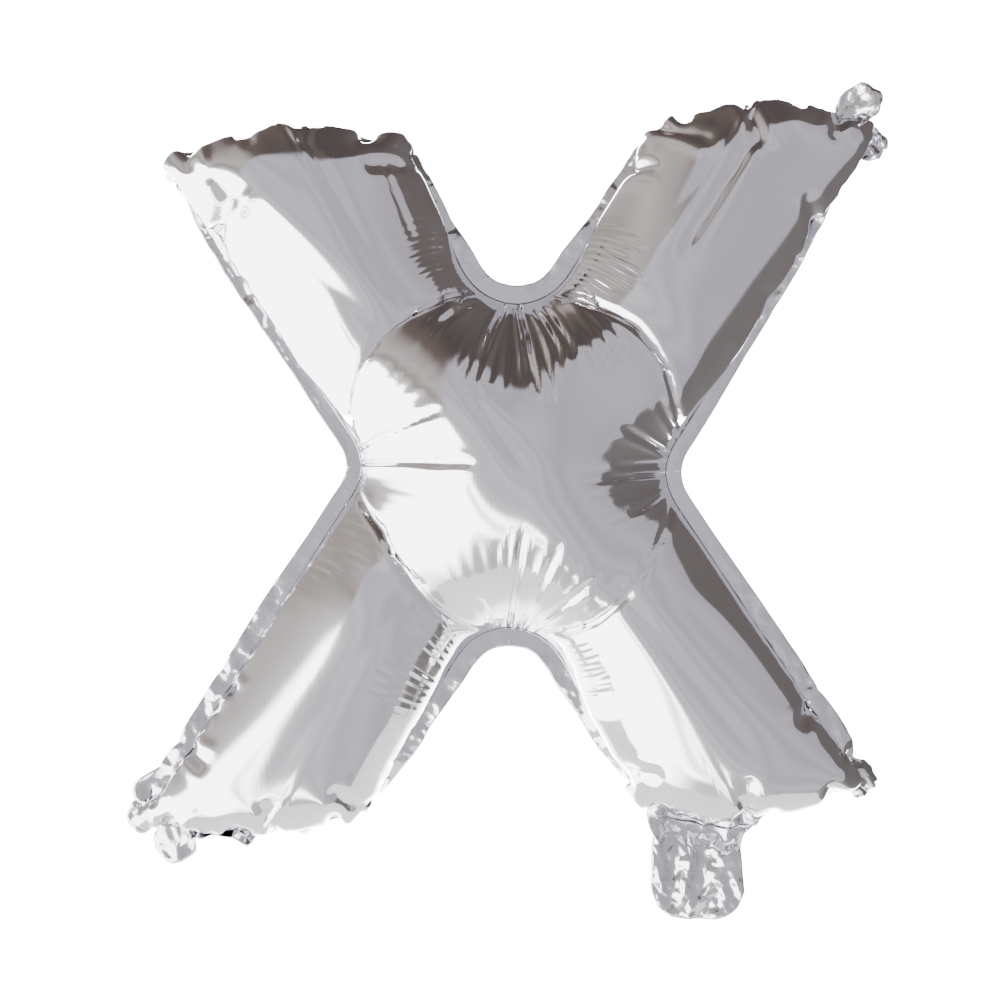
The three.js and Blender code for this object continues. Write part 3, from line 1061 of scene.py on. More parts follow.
@dataclass(frozen=True)
class Fold:
    """A fold that runs from its start, mostly on the weld, to its end, where it has faded out.

    depth is how deep it is pressed in and width how far to each side it reaches. lip is how high, as
    a share of the depth, the film stands up beside it, and drawn how far it draws the weld in.
    """

    start: Pair
    end: Pair
    depth: float = 1.5
    width: float = 1.3
    lip: float = 0.45
    drawn: float = 0.0


TUCKS = (
    Fold((-5.6, 77.0), (-14.8, 52.9)), Fold((3.3, 76.4), (7.9, 43.0), 1.8),
    Fold((12.2, 73.0), (23.1, 52.9)), Fold((17.4, 73.6), (28.9, 52.9)),
    Fold((-22.2, 77.6), (-36.0, 67.8), 1.0), Fold((-73.3, 9.3), (-40.6, 24.2), 1.8),
    Fold((-73.3, 1.0), (-22.8, 0.1), 1.8), Fold((75.9, 5.8), (53.0, 17.3), 1.5),
    Fold((74.2, -5.1), (45.5, -6.5), 1.3), Fold((81.7, 13.3), (71.3, 29.4), 1.0),
    Fold((76.5, -13.1), (57.6, -24.6), 1.0), Fold((73.6, 0.7), (50.1, -1.6), 0.8),
    Fold((-1.0, -78.5), (3.6, -36.1), 1.8), Fold((4.8, -78.5), (22.0, -39.5), 1.8),
    Fold((9.4, -80.3), (40.9, -55.6), 1.6), Fold((-11.3, -76.3), (-16.5, -65.9), 0.8),
)
PINCHES = (
    # Upper right arm.
    Fold((74.7, 166.3), (97.0, 160.0), 1.6, 2.6, 0.4, 1.0),
    Fold((114.0, 181.0), (123.1, 153.4), 1.8, 2.8, 0.4, 1.0),
    Fold((163.0, 173.0), (158.0, 160.0), 2.0, 3.0, 0.3, 1.5),
    Fold((151.2, 118.3), (143.5, 133.5), 1.0, 3.5, 0.3, 1.2),
    Fold((130.8, 79.0), (123.0, 86.0), 0.3, 3.0, 0.0, 0.6),
    Fold((60.0, 146.4), (71.0, 147.0), 1.2, 2.5, 0.3, 0.5),
    # Lower right arm.
    Fold((149.2, -117.8), (141.5, -129.5), 2.2, 3.0, 0.4, 2.0),
    Fold((162.3, -165.5), (155.0, -159.0), 2.0, 3.5, 0.3, 2.5),
    Fold((114.9, -174.6), (114.9, -154.0), 2.0, 3.0, 0.3, 2.0),
    Fold((57.6, -150.8), (73.0, -153.5), 1.3, 2.8, 0.3, 1.5),
    # Lower left arm.
    Fold((-146.2, -101.0), (-139.0, -113.5), 1.8, 2.4, 0.4, 1.5),
    Fold((-165.8, -139.6), (-151.0, -148.0), 2.0, 2.8, 0.4, 2.5),
    Fold((-172.1, -180.3), (-170.0, -168.0), 3.0, 4.5, 0.4, 3.0),
    Fold((-116.7, -185.2), (-122.5, -166.0), 1.8, 2.6, 0.4, 1.5),
    Fold((-139.4, -188.0), (-139.9, -176.0), 1.5, 2.5, 0.4, 1.0),
    Fold((-79.5, -169.0), (-89.5, -159.8), 1.8, 2.8, 0.4, 2.0),
    # Upper left arm.
    Fold((-146.2, 113.9), (-139.5, 136.0), 3.0, 3.5, 0.5, 1.5),
    Fold((-160.9, 160.9), (-162.0, 145.0), 2.5, 3.5, 0.5, 1.5),
    Fold((-131.4, 165.5), (-129.5, 156.0), 0.8, 2.0, 0.3, 0.3),
    Fold((-100.6, 166.0), (-103.5, 156.0), 0.8, 2.0, 0.3, 0.3),
    Fold((-70.0, 165.5), (-80.5, 158.0), 1.2, 2.5, 0.3, 0.5),
    Fold((-56.5, 147.8), (-73.0, 147.4), 1.4, 2.8, 0.4, 1.2),
)
CREASES = (
    Fold((114.0, 153.4), (82.0, 104.0), 2.2, 3.0, 0.3), Fold((-62.0, 143.4), (-49.4, 111.1), 0.5, 1.1),
    Fold((-21.6, 34.5), (8.8, -7.4), 0.5, 3.5), Fold((-22.2, 35.7), (-8.4, 32.8), 0.5, 1.2),
    Fold((-139.2, 133.6), (-66.2, 66.2), 0.7, 5.0), Fold((-102.7, 158.8), (-53.6, 73.2), 0.6, 4.0),
    Fold((56.6, -67.3), (119.8, -144.5), 0.6, 4.5), Fold((90.0, -74.0), (140.8, -124.8), 0.6, 4.5),
    Fold((-58.0, -72.0), (-117.0, -150.0), 0.6, 4.0),
)
# Where the pleats that run in to the middle reach, and how strong they are, by the place along the
# weld from the notch's apex, clockwise, and by how far in they run in the front view.
FANS: dict[str, Rows] = {
    "top": (
        (-31, 38, 0), (-26, 40, 0.7), (-10, 44, 0.8), (0, 47, 1.2), (4, 51, 1.6), (26, 50, 1.6),
        (32, 46, 0),
    ),
    "right": (
        (-30, 36, 0), (-26, 38, 0.3), (-4, 40, 0.35), (4, 41, 0.8), (22, 40, 0.9), (28, 36, 0.5),
        (31, 36, 0),
    ),
    "bottom": (
        (-31, 46, 0), (-24, 46, 0.5), (-12, 48, 1.2), (2, 49, 1.1), (6, 46, 0.35), (26, 44, 0.25),
        (31, 44, 0),
    ),
    "left": ((-31, 48, 0), (-26, 48, 0.2), (-3, 50, 0.3), (2, 52, 1.3), (24, 52, 1.5), (31, 48, 0)),
}
# The same for the pleats on the arms beside each notch, which run in square to the weld.
FLANKS: dict[str, Rows] = {
    "top": (
        (-64, 0, 0), (-54, 44, 1.1), (-16, 48, 1.1), (-8, 40, 0), (8, 40, 0), (16, 54, 1.8), (50, 54, 1.8),
        (62, 0, 0),
    ),
    "right": (
        (-50, 0, 0), (-36, 26, 0.4), (-16, 30, 0.6), (-8, 30, 0), (8, 30, 0), (16, 26, 0.6), (50, 18, 0.4),
        (60, 0, 0),
    ),
    "bottom": (
        (-60, 0, 0), (-46, 38, 0.9), (-16, 42, 1.0), (-8, 36, 0), (8, 40, 0), (16, 52, 1.3), (58, 52, 1.4),
        (68, 0, 0),
    ),
    "left": (
        (-66, 0, 0), (-50, 50, 1.3), (-14, 52, 1.4), (-8, 40, 0), (8, 36, 0), (16, 36, 0.6), (36, 26, 0.4),
        (50, 0, 0),
    ),
}
# And for each tip, by the place along it from its first corner.
TIP_GATHERS: dict[str, Rows] = {
    "upper_right": ((0, 6, 0.3), (40, 8, 0.4), (46, 13, 1.3), (92, 13, 1.3), (98, 8, 0.3), (125, 6, 0.3)),
    "lower_right": (
        (0, 5, 0.2), (54, 8, 0.4), (60, 18, 1.2), (102, 15, 1.2), (108, 6, 0.3), (125, 6, 0.3),
    ),
    "lower_left": ((0, 5, 0.3), (36, 8, 0.3), (42, 13, 1.0), (84, 13, 1.0), (90, 6, 0.3), (125, 6, 0.3)),
    "upper_left": ((0, 5, 0.3), (40, 6, 0.3), (45, 12, 1.2), (76, 12, 1.2), (80, 6, 0.3), (125, 6, 0.3)),
}


class Laid(Enum):
    """What the film and the margin do at a place along the weld, by its column in a Lay's rows."""

    BULGE = 1
    SEEN = 2
    BACK = 3


@dataclass(frozen=True)
class Lay:
    """How the film and the margin lie along the two sides of a notch and along a tip.

    Rows are the place along the weld, how far the film bulges out over it, the share of the margin's
    width that is seen, and how far the margin is bent back.
    """

    rows: Rows

    def at(self, place: np.ndarray, column: Laid) -> np.ndarray:
        """One column's value at places along the weld."""
        table = np.array(self.rows)
        return np.interp(place, table[:, 0], table[:, column.value])


LAYS = {
    "top": Lay((
        (-104, 3.0, 0.45, 3.0), (-90, 3.5, 0.65, 2.0), (-60, 3.5, 0.70, 1.0), (-38, 0, 1, 0),
        (38, 0, 1, 0), (60, 2.5, 0.70, 1.0), (95, 2.5, 0.60, 2.0), (114, 2.5, 0.55, 3.0),
    )),
    "right": Lay((
        (-200, 2.0, 0.6, 2.0), (-180, 5.0, 0.75, 1.0), (-70, 4.0, 0.75, 1.0), (-36, 0, 0.85, 0),
        (40, 0, 0.85, 0), (90, 0.5, 0.95, 0), (150, 1.5, 1.0, 1.0), (184, 1.5, 0.8, 1.0),
    )),
    "bottom": Lay((
        (-108, 2.0, 0.9, 1.0), (-60, 3.0, 0.75, 1.0), (-38, 0, 1, 0), (38, 0, 1, 0), (60, 2.0, 0.85, 0),
        (122, 2.0, 0.9, 0),
    )),
    "left": Lay((
        (-206, 1.5, 0.9, 0), (-80, 1.5, 1.0, 0), (-40, 0, 0.85, 0), (40, 0, 0.85, 0), (60, 2.5, 0.8, 0.5),
        (150, 3.0, 0.9, 1.0), (182, 2.5, 0.6, 2.0),
    )),
    "upper_right": Lay((
        (0, 2.5, 0.5, 3.0), (20, 3.0, 0.45, 4.0), (42, 2.5, 0.7, 4.0), (50, 3.0, 0.5, 4.0),
        (72, 3.0, 0.5, 4.0), (84, 2.5, 0.9, 2.0), (108, 1.0, 1.0, 0),
    )),
    "lower_right": Lay((
        (0, 1.0, 1.0, 0), (12, 2.0, 0.8, 0), (34, 3.0, 1.5, -1), (50, 2.0, 1.0, 0), (58, 5.0, 1.0, 0),
        (98, 5.0, 1.0, 0), (106, 1.5, 1.0, 0), (114, 1.5, 0.9, 0),
    )),
    "lower_left": Lay((
        (0, 2.0, 0.9, 0), (50, 2.5, 1.0, 0), (106, 1.5, 1.0, 0),
    )),
    "upper_left": Lay((
        (0, 2.0, 0.6, 2.0), (56, 3.0, 0.4, 4.0), (62, 3.0, 1.3, 1.0), (76, 3.0, 1.4, 1.0),
        (84, 3.0, 0.5, 4.0), (116, 3.0, 0.45, 4.0),
    )),
}


@dataclass(frozen=True)
class Ear:
    """A round lobe of the margin: from one neck on the weld to the next, clockwise, round its centre."""

    first: Pair
    last: Pair
    centre: Pair
    radius: float
    back: float = 0.0

    def wavy(self, angle: np.ndarray) -> np.ndarray:
        """Radius of the lobe's edge, a little uneven."""
        return self.radius * (1 + 0.07 * np.sin(4.3 * angle + self.radius) + 0.05 * np.sin(9.7 * angle))

    @staticmethod
    def fold(flat: np.ndarray) -> np.ndarray:
        """How far the lobe is folded to the front or back at its points, in millimetres."""
        x, z = flat[:, :, 0], flat[:, :, 1]
        return 1.3 * np.sin(x * 0.85 + z * 0.5) + 0.8 * np.sin(z * 1.3 - x * 0.6)

    def spread(self, grid: np.ndarray) -> None:
        """Spreads the margin between the necks into the lobe.

        Args:
            grid: the margin's points, in metres, which are moved.
        """
        weld = grid[0][:, [0, 2]] / MM
        necks = (self.first, self.last)
        a, b = (int(np.argmin(np.linalg.norm(weld - np.array(neck), axis=1))) for neck in necks)
        columns = np.arange(a, b + 1)
        centre = np.array(self.centre)
        start = bearing(np.array(self.first) - centre)
        turn = (bearing(np.array(self.last) - centre) - start) % (2 * math.pi) - 2 * math.pi
        share = np.linspace(0, 1, len(columns))
        angle = start + turn * share
        neck = np.abs(2 * share - 1) ** 3
        ends = [np.hypot(*(np.array(at) - centre)) for at in necks]
        radius = self.wavy(angle)
        radius = radius + (np.where(share < 0.5, *ends) - radius) * neck
        edge = centre + radius[:, None] * np.stack([np.cos(angle), np.sin(angle)], 1)
        rows = np.linspace(0, 1, len(grid))[:, None, None]
        flat = grid[0, columns][:, [0, 2]] / MM * (1 - rows) + edge * rows
        blend = np.clip(np.minimum(share, share[::-1]) * 12, 0, 1)[None, :, None]
        old = grid[:, columns][:, :, [0, 2]]
        laid = old * (1 - blend) + flat * MM * blend
        grid[:, columns, 0] = laid[:, :, 0]
        grid[:, columns, 2] = laid[:, :, 1]
        grid[:, columns, 1] += rows[:, :, 0] * (self.back + self.fold(flat)) * MM * blend[:, :, 0]


EARS = (
    Ear((161.0, 170.0), (174.0, 170.5), (175.0, 182.0), 8.5, -2.0),
    Ear((175.5, 168.0), (169.5, 153.0), (179.5, 160.5), 7.5, 1.5),
    Ear((167.5, -147.0), (165.0, -159.5), (174.5, -158.5), 8.5, 2.0),
    Ear((-165.0, -177.0), (-177.0, -177.5), (-168.5, -190.0), 9.5, -2.0),
    Ear((-179.5, -177.0), (-177.0, -167.0), (-186.0, -176.5), 8.0, 1.0),
    Ear((-175.5, -165.0), (-172.0, -156.0), (-184.5, -162.5), 6.0, -1.0),
)
# Least and greatest width, height and length of a pleat, as shares of the mean ones.
PLEAT_WIDTHS, PLEAT_HEIGHTS, PLEAT_LENGTHS = (0.7, 1.35), (0.3, 1.3), (0.7, 1.12)
# Distance from the weld at which the film bulges out most, and how much less and how far round a pinch.
PEAK = 8.0
PINCHED = (0.9, 7)
# How much fuller than in the simulation the films stand near the weld, before and after each notch, where
# on the weld that begins and is reached, and how much fuller they stand at the tips.
FULLER = {"top": (0.0, 0.18), "right": (0.05, 0.25), "bottom": (0.1, 0.1), "left": (0.1, 0.1)}
FULLER_PLACES = (-70, -50, 50, 70)
FULLER_TIP = 0.28
# The crease round the middle: angles, and its distance from the letter's centre at each.
CREASE = (
    (21, 33, 48, 67, 108, 118, 137, 163, 189, 206, 226, 239, 256, 297, 315, 331, 345),
    (84.9, 88.2, 90.4, 86.8, 87.5, 87.6, 89.3, 83.4, 78.9, 72.0, 74.5, 78.9, 84.4, 87.0, 83.2, 81.0, 81.5),
)


@dataclass
class Wrinkles:
    """Presses the fine pleats and the folds into one of the two films."""

    inflation: Inflation
    layer: Layer
    seed: int
    slope: float = 0.16
    crease: float = 1.9
    crease_width: float = 1.8
    pleat: float = 2.8
    tip_pleat: float = 5.0

    def press(self) -> None:
        """Presses all of them in, along the film's normals."""
        points, mesh = self.inflation.points, self.inflation.mesh
        height = np.zeros(len(points))
        for index, grid, flat in self.inflation.strips(self.layer):
            self.gather(height, grid, flat, index)
        inside = mesh.layer == self.layer.value
        reach = self.inflation.reach(self.layer)
        off = np.abs(self.inflation.from_crease())
        height -= np.exp(-((off / self.crease_width) ** 2)) * self.crease * rise(reach, 5, 14)
        turn = self.layer.value
        middle = self.beyond_crease(-1)
        for index, (name, rows) in enumerate(FANS.items()):
            height += self.fan(name, rows, self.seed + 20 + index) * middle
        for fold in TUCKS:
            height += self.groove(fold, turn) * np.minimum(1, reach / 2.5)
        for fold in (*PINCHES, *CREASES):
            height += self.groove(fold, 1) * np.minimum(1, reach / 4)
        points += self.normals() * (height * inside * MM)[:, None]

    def beyond_crease(self, side: int) -> np.ndarray:
        """One outside the crease round the middle for side 1, or inside it for side -1, fading to 0 at it."""
        return smooth(rise(side * self.inflation.from_crease(), 1.0, 4.0))

    def fan(self, name: str, rows: Rows, seed: int, longest: float = 70) -> np.ndarray:
        """Height of the pleats that run from one notch in to the middle.

        Args:
            name: the notch's name.
            rows: place, length and strength of the pleats.
            seed: seed of their unevenness.
            longest: how far in they can run, in millimetres.

        Returns:
            The height at every point.
        """
        notch = self.inflation.full.notches[name]
        opens = notch.outward
        away = self.inflation.seen() - notch.centre
        inward, clockwise = -away @ opens, away @ np.array([opens[1], -opens[0]])
        place = np.arctan2(clockwise, inward) * notch.radius
        depth = np.maximum(np.hypot(inward, clockwise) - notch.radius, 0)
        near = (inward > 0) & (depth < longest)
        height = self.ridges(place, depth, (notch.radius + depth) / notch.radius, rows, seed)
        return np.where(near, height, 0)

    def gather(self, height: np.ndarray, grid: np.ndarray, flat: np.ndarray, index: int) -> None:
        """Adds the fine pleats of one strip: those beside its notch and those along its two half tips.

        Args:
            height: height of every point, in millimetres, added to.
            grid: the strip's point numbers.
            flat: its flat points.
            index: number of the arm after the notch.
        """
        place = self.inflation.places(index)[None]
        rows = FLANKS[FLAT_ARMS[index].before]
        flank = self.ridges(place, from_side(flat), 1.1, rows, self.seed + index)
        height[grid] += flank * self.beyond_crease(1)[grid]
        for arm, end, points in half_tips(index, len(grid)):
            place = self.inflation.tip_places(arm)[points][:, None]
            rows, seed = TIP_GATHERS[FLAT_ARMS[arm].name], self.seed + 10 + arm
            height[grid] += self.ridges(place, from_tip(flat, end), 1.0, rows, seed, self.tip_pleat)

    def ridges(
        self, place: np.ndarray, depth: np.ndarray, spacing: np.ndarray | float, rows: Rows, seed: int,
        pleat: float | None = None, most: int = 160,
    ) -> np.ndarray:
        """Round ridges with sharp valleys between them, of uneven width, height and length.

        Args:
            place: place along the weld.
            depth: distance from the weld.
            spacing: how far the pleats have opened against the weld.
            rows: place, length and strength.
            seed: seed of the unevenness.
            pleat: mean width of a pleat on the weld, or None for the usual one.
            most: number of pleats.

        Returns:
            The height.
        """
        pleat = pleat or self.pleat
        rng = np.random.default_rng(seed)
        edges = np.cumsum(rng.uniform(*PLEAT_WIDTHS, most)) * pleat
        edges -= edges[most // 2]
        number = np.arange(most)
        phase = np.interp(place, edges, number)
        size = np.interp(phase, number, rng.uniform(*PLEAT_HEIGHTS, most))
        stretch = np.interp(phase, number, rng.uniform(*PLEAT_LENGTHS, most))
        at, length, strength = np.array(rows, float).T
        length = np.interp(place, at, length) * stretch
        strength = np.interp(place, at, strength)
        # A pleat has grown to its full height at three quarters of its length, and fades out at its end.
        grow = np.minimum(1, depth / np.maximum(length * 0.75, 1)) ** 1.2
        fade = smooth(rise(length - depth, 0, np.maximum(length * 0.14, 1)))
        # The root of a squared sine is round on top and sharp below; the pleats swing about its mean.
        wave = np.sqrt(np.sin(np.pi * phase) ** 2 + 0.02) - 0.67
        return wave * size * strength * grow * fade * self.slope * pleat * spacing

    def groove(self, fold: Fold, turn: int) -> np.ndarray:
        """Height of a fold at every point.

        Args:
            fold: the fold.
            turn: -1 turns it half round the letter's centre.

        Returns:
            The heights, below zero in the groove and above it on its lips.
        """
        flat = self.inflation.seen()
        start, end = np.array(fold.start) * turn, np.array(fold.end) * turn
        line = end - start
        length = np.hypot(*line)
        line /= length
        along = (flat - start) @ line / length
        off = np.abs((flat - start) @ np.array([-line[1], line[0]]))
        # The groove widens inward, its lips stand 2.2 widths beside it, and it fades out at both ends.
        width = fold.width * (0.75 + 0.5 * np.clip(along, 0, 1))
        shape = -np.exp(-((off / width) ** 1.3)) + fold.lip * np.exp(-(((off - 2.2 * width) / width) ** 2))
        fade = rise(1.12 - along, 0, 0.3) * rise(along, -0.25, 0.25)
        return fold.depth * shape * fade * fade * (3 - 2 * fade)

    def normals(self) -> np.ndarray:
        """Outward normals of the film.

        Returns:
            The normal at each of its points, and 0 at all others.
        """
        points, mesh = self.inflation.points, self.inflation.mesh
        faces = mesh.faces[mesh.tags == self.layer.value]
        first, second, third, fourth = points[faces].transpose(1, 0, 2)
        square_to_face = np.cross(third - first, fourth - second)
        out = np.zeros_like(points)
        for corner in range(4):
            np.add.at(out, faces[:, corner], square_to_face)
        return out / np.maximum(np.linalg.norm(out, axis=1), 1e-12)[:, None]


def draw_in(inflation: Inflation, beside: float = 4.0, inward: float = 8.0, outward: float = 16.0) -> None:
    """Draws the weld and the margin in at the pinches.

    Args:
        inflation: the filled balloon.
        beside: how far to the sides of a pinch the film comes along, in millimetres.
        inward: how far in along it.
        outward: how far out along it.
    """
    for fold in PINCHES:
        start, end = np.array(fold.start), np.array(fold.end)
        line = (end - start) / np.hypot(*(end - start))
        away = inflation.seen() - start
        along, off = away @ line, np.abs(away @ np.array([-line[1], line[0]]))
        share = np.exp(-off / beside) * np.exp(-(np.maximum(along, 0) / inward))
        share = share * np.exp(-(np.minimum(along, 0) / outward) ** 2)
        inflation.points[:, [0, 2]] += (fold.drawn * MM * share)[:, None] * line


# Materials.


def srgb(code: str) -> tuple[float, float, float, float]:
    """Turns an sRGB hex colour to linear, with full alpha."""
    parts = [int(code[i : i + 2], 16) / 255 for i in (1, 3, 5)]
    return (*[c / 12.92 if c <= 0.04045 else ((c + 0.055) / 1.055) ** 2.4 for c in parts], 1.0)


def node(
    tree: bpy.types.NodeTree, kind: str, links: dict | None = None, inputs: dict | None = None,
    **settings: str,
) -> bpy.types.Node:
    """Adds a node with its settings, input values and links.

    Args:
        tree: the node tree.
        kind: the node's type.
        links: input name or number to the output that feeds it.
        inputs: input name or number to its value.
        settings: the node's own settings.

    Returns:
        The node.
    """
    added = tree.nodes.new(kind)
    for key, value in settings.items():
        setattr(added, key, value)
    for key, value in (inputs or {}).items():
        added.inputs[key].default_value = value
    for key, out in (links or {}).items():
        tree.links.new(out, added.inputs[key])
    return added


def spans(value: Pair, result: Pair) -> dict[int, float]:
    """Inputs of a node that maps one span of values to another."""
    return dict(zip((1, 2, 3, 4), (*value, *result)))


def cleared(owner: bpy.types.Material | bpy.types.World) -> bpy.types.NodeTree:
    """Gives a new material or world an empty node tree."""
    owner.use_nodes = True
    owner.node_tree.nodes.clear()
    return owner.node_tree


@dataclass(frozen=True)
class Finish:
    """A finish: its name, its colour, and the nodes that a kind of finish adds."""

    name: str
    tint: str

    def make(self) -> bpy.types.Material:
        """Builds the material."""
        material = bpy.data.materials.new(self.name)
        tree = cleared(material)
        node(tree, "ShaderNodeOutputMaterial", {0: self.shade(tree).outputs[0]})
        return material

    def shade(self, tree: bpy.types.NodeTree) -> bpy.types.Node:
        """Adds the nodes up to the shader, which each kind of finish does in its own way."""
        raise NotImplementedError


@dataclass(frozen=True)
class Foil(Finish):
    """A mirror whose haze and bump follow one fine pattern.

    The haze runs between two shares of the roughness, and the bump has a strength and a height.
    """

    roughness: float
    shares: Pair
    strength: float
    bump_mm: float

    def pattern(self, tree: bpy.types.NodeTree) -> bpy.types.NodeSocket:
        """Adds the pattern, which each kind of foil does in its own way."""
        raise NotImplementedError

    def shade(self, tree: bpy.types.NodeTree) -> bpy.types.Node:
        """Adds the pattern, its haze and its bump.

        Args:
            tree: the material's node tree.

        Returns:
            The shader.
        """
        pattern = self.pattern(tree)
        least, most = (self.roughness * share for share in self.shares)
        haze = node(tree, "ShaderNodeMapRange", {0: pattern}, spans((0.0, 1.0), (least, most)))
        bump = node(
            tree, "ShaderNodeBump", {"Height": pattern},
            {"Strength": self.strength, "Distance": self.bump_mm * MM},
        )
        return node(
            tree, "ShaderNodeBsdfPrincipled", {"Roughness": haze.outputs[0], "Normal": bump.outputs[0]},
            {"Base Color": srgb(self.tint), "Metallic": 1.0},
        )


@dataclass(frozen=True)
class MirrorFoil(Foil):
    """Metallised nylon film, vapour coated: a mirror with a faint haze and the streaks of its rolling."""

    name: str = "metallised_nylon_film"
    tint: str = "#EFEEF1"
    roughness: float = 0.085
    shares: Pair = (0.75, 1.25)
    strength: float = 1.0
    bump_mm: float = 0.012
    streak_mm: float = 1.1

    def pattern(self, tree: bpy.types.NodeTree) -> bpy.types.NodeSocket:
        """Streaks along the roll, top to bottom; the sheet's map is in metres on the flat cut."""
        uv = node(tree, "ShaderNodeTexCoord").outputs["UV"]
        roll = node(tree, "ShaderNodeMapping", {0: uv}, {"Scale": (1 / (self.streak_mm * MM), 12.0, 1.0)})
        fine = node(tree, "ShaderNodeTexNoise", {0: roll.outputs[0]}, {"Scale": 1.0, "Detail": 3.0})
        return fine.outputs[0]


@dataclass(frozen=True)
class WeldedFoil(Foil):
    """The same film where the two plies are fused: a mirror with the fine grain of the weld bar."""

    name: str = "fused_metallised_film"
    tint: str = "#E4E4E9"
    roughness: float = 0.13
    shares: Pair = (0.7, 1.5)
    strength: float = 0.6
    bump_mm: float = 0.10
    grain_mm: float = 1.6

    def pattern(self, tree: bpy.types.NodeTree) -> bpy.types.NodeSocket:
        """Cells as large as the weld bar's grain."""
        place = node(tree, "ShaderNodeTexCoord").outputs["Object"]
        scale = {"Scale": 1 / (self.grain_mm * MM)}
        return node(tree, "ShaderNodeTexVoronoi", {0: place}, scale, feature="F1").outputs[0]


@dataclass(frozen=True)
class ValveFilm(Finish):
    """Clear polyethylene tube of the valve, a little yellow and wrinkled."""

    name: str = "clear_polyethylene_film"
    tint: str = "#E6E0C4"
    wrinkles: float = 300.0
    bump_mm: float = 0.3

    def shade(self, tree: bpy.types.NodeTree) -> bpy.types.Node:
        """Adds the wrinkles and the shader.

        Args:
            tree: the material's node tree.

        Returns:
            The shader.
        """
        place = node(tree, "ShaderNodeTexCoord").outputs["Object"]
        wrinkle = node(tree, "ShaderNodeTexNoise", {0: place}, {"Scale": self.wrinkles, "Detail": 2.0})
        bump = node(
            tree, "ShaderNodeBump", {"Height": wrinkle.outputs[0]},
            {"Strength": 0.5, "Distance": self.bump_mm * MM},
        )
        return node(
            tree, "ShaderNodeBsdfPrincipled", {"Normal": bump.outputs[0]},
            {"Base Color": srgb(self.tint), "Roughness": 0.18, "IOR": 1.51, "Alpha": 0.75},
        )


# Pieces.


def new_piece(
    name: str, points: np.ndarray, faces: np.ndarray, material: bpy.types.Material,
) -> bpy.types.Object:
    """Makes a smooth mesh object from points and quads.

    Args:
        name: the piece's name.
        points: all points, in metres.
        faces: quads as point numbers.
        material: the piece's finish.

    Returns:
        The object, with only the points that its faces use.
    """
    used, inverse = np.unique(faces, return_inverse=True)
    data = bpy.data.meshes.new(name)
    data.from_pydata(points[used].tolist(), [], inverse.reshape(faces.shape).tolist())
    data.polygons.foreach_set("use_smooth", np.ones(len(faces), bool))
    data.materials.append(material)
    piece = bpy.data.objects.new(name, data)
    bpy.context.scene.collection.objects.link(piece)
    return piece


def hand_in(piece: bpy.types.Object, name: str, thickness: float, offset: float = 0.0) -> None:
    """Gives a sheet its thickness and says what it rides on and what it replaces.

    Args:
        piece: the sheet.
        name: the node that it replaces.
        thickness: its thickness, in metres.
        offset: -1 lays the thickness on the inner side, 0 on both.
    """
    modifier = piece.modifiers.new("Solidify", "SOLIDIFY")
    modifier.thickness, modifier.offset, modifier.use_even_offset = thickness, offset, False
    bpy.ops.object.select_all(action="DESELECT")
    bpy.context.view_layer.objects.active = piece
    piece.select_set(True)
    bpy.ops.object.modifier_apply(modifier=modifier.name)
    piece.select_set(False)
    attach(piece, "root")
    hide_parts(name)


def grid_piece(
    name: str, grid: np.ndarray, finish: bpy.types.Material, thickness: float,
) -> bpy.types.Object:
    """Makes a sheet from a grid of points.

    Args:
        name: the node that it replaces.
        grid: its points, in metres.
        finish: its finish.
        thickness: its thickness, in metres.

    Returns:
        The sheet.
    """
    points = grid.reshape(-1, 3)
    faces = quads(np.arange(len(points)).reshape(grid.shape[:2]))
    piece = new_piece(f"{name}_sheet", points, faces, finish)
    hand_in(piece, name, thickness)
    return piece


@dataclass
class Film:
    """One of the two films, with its map laid on the flat cut."""

    name: str
    layer: Layer
    inflation: Inflation
    thickness: float = 0.0001

    def build(self, finish: bpy.types.Material) -> bpy.types.Object:
        """Builds the film from the filled cloth.

        Args:
            finish: its finish.

        Returns:
            The film.
        """
        mesh = self.inflation.mesh
        faces = mesh.faces[mesh.tags == self.layer.value]
        piece = new_piece(f"{self.name}_sheet", self.inflation.points, faces, finish)
        used, inverse = np.unique(faces, return_inverse=True)
        layer = piece.data.uv_layers.new(name="flat_cut")
        flat = (mesh.flat[used] * MM)[inverse.reshape(-1)]
        layer.data.foreach_set("uv", flat.astype(np.float32).ravel())
        hand_in(piece, self.name, self.thickness, -1.0)
        cut = self.inflation.cut
        cut.area() * MM * MM
        return piece


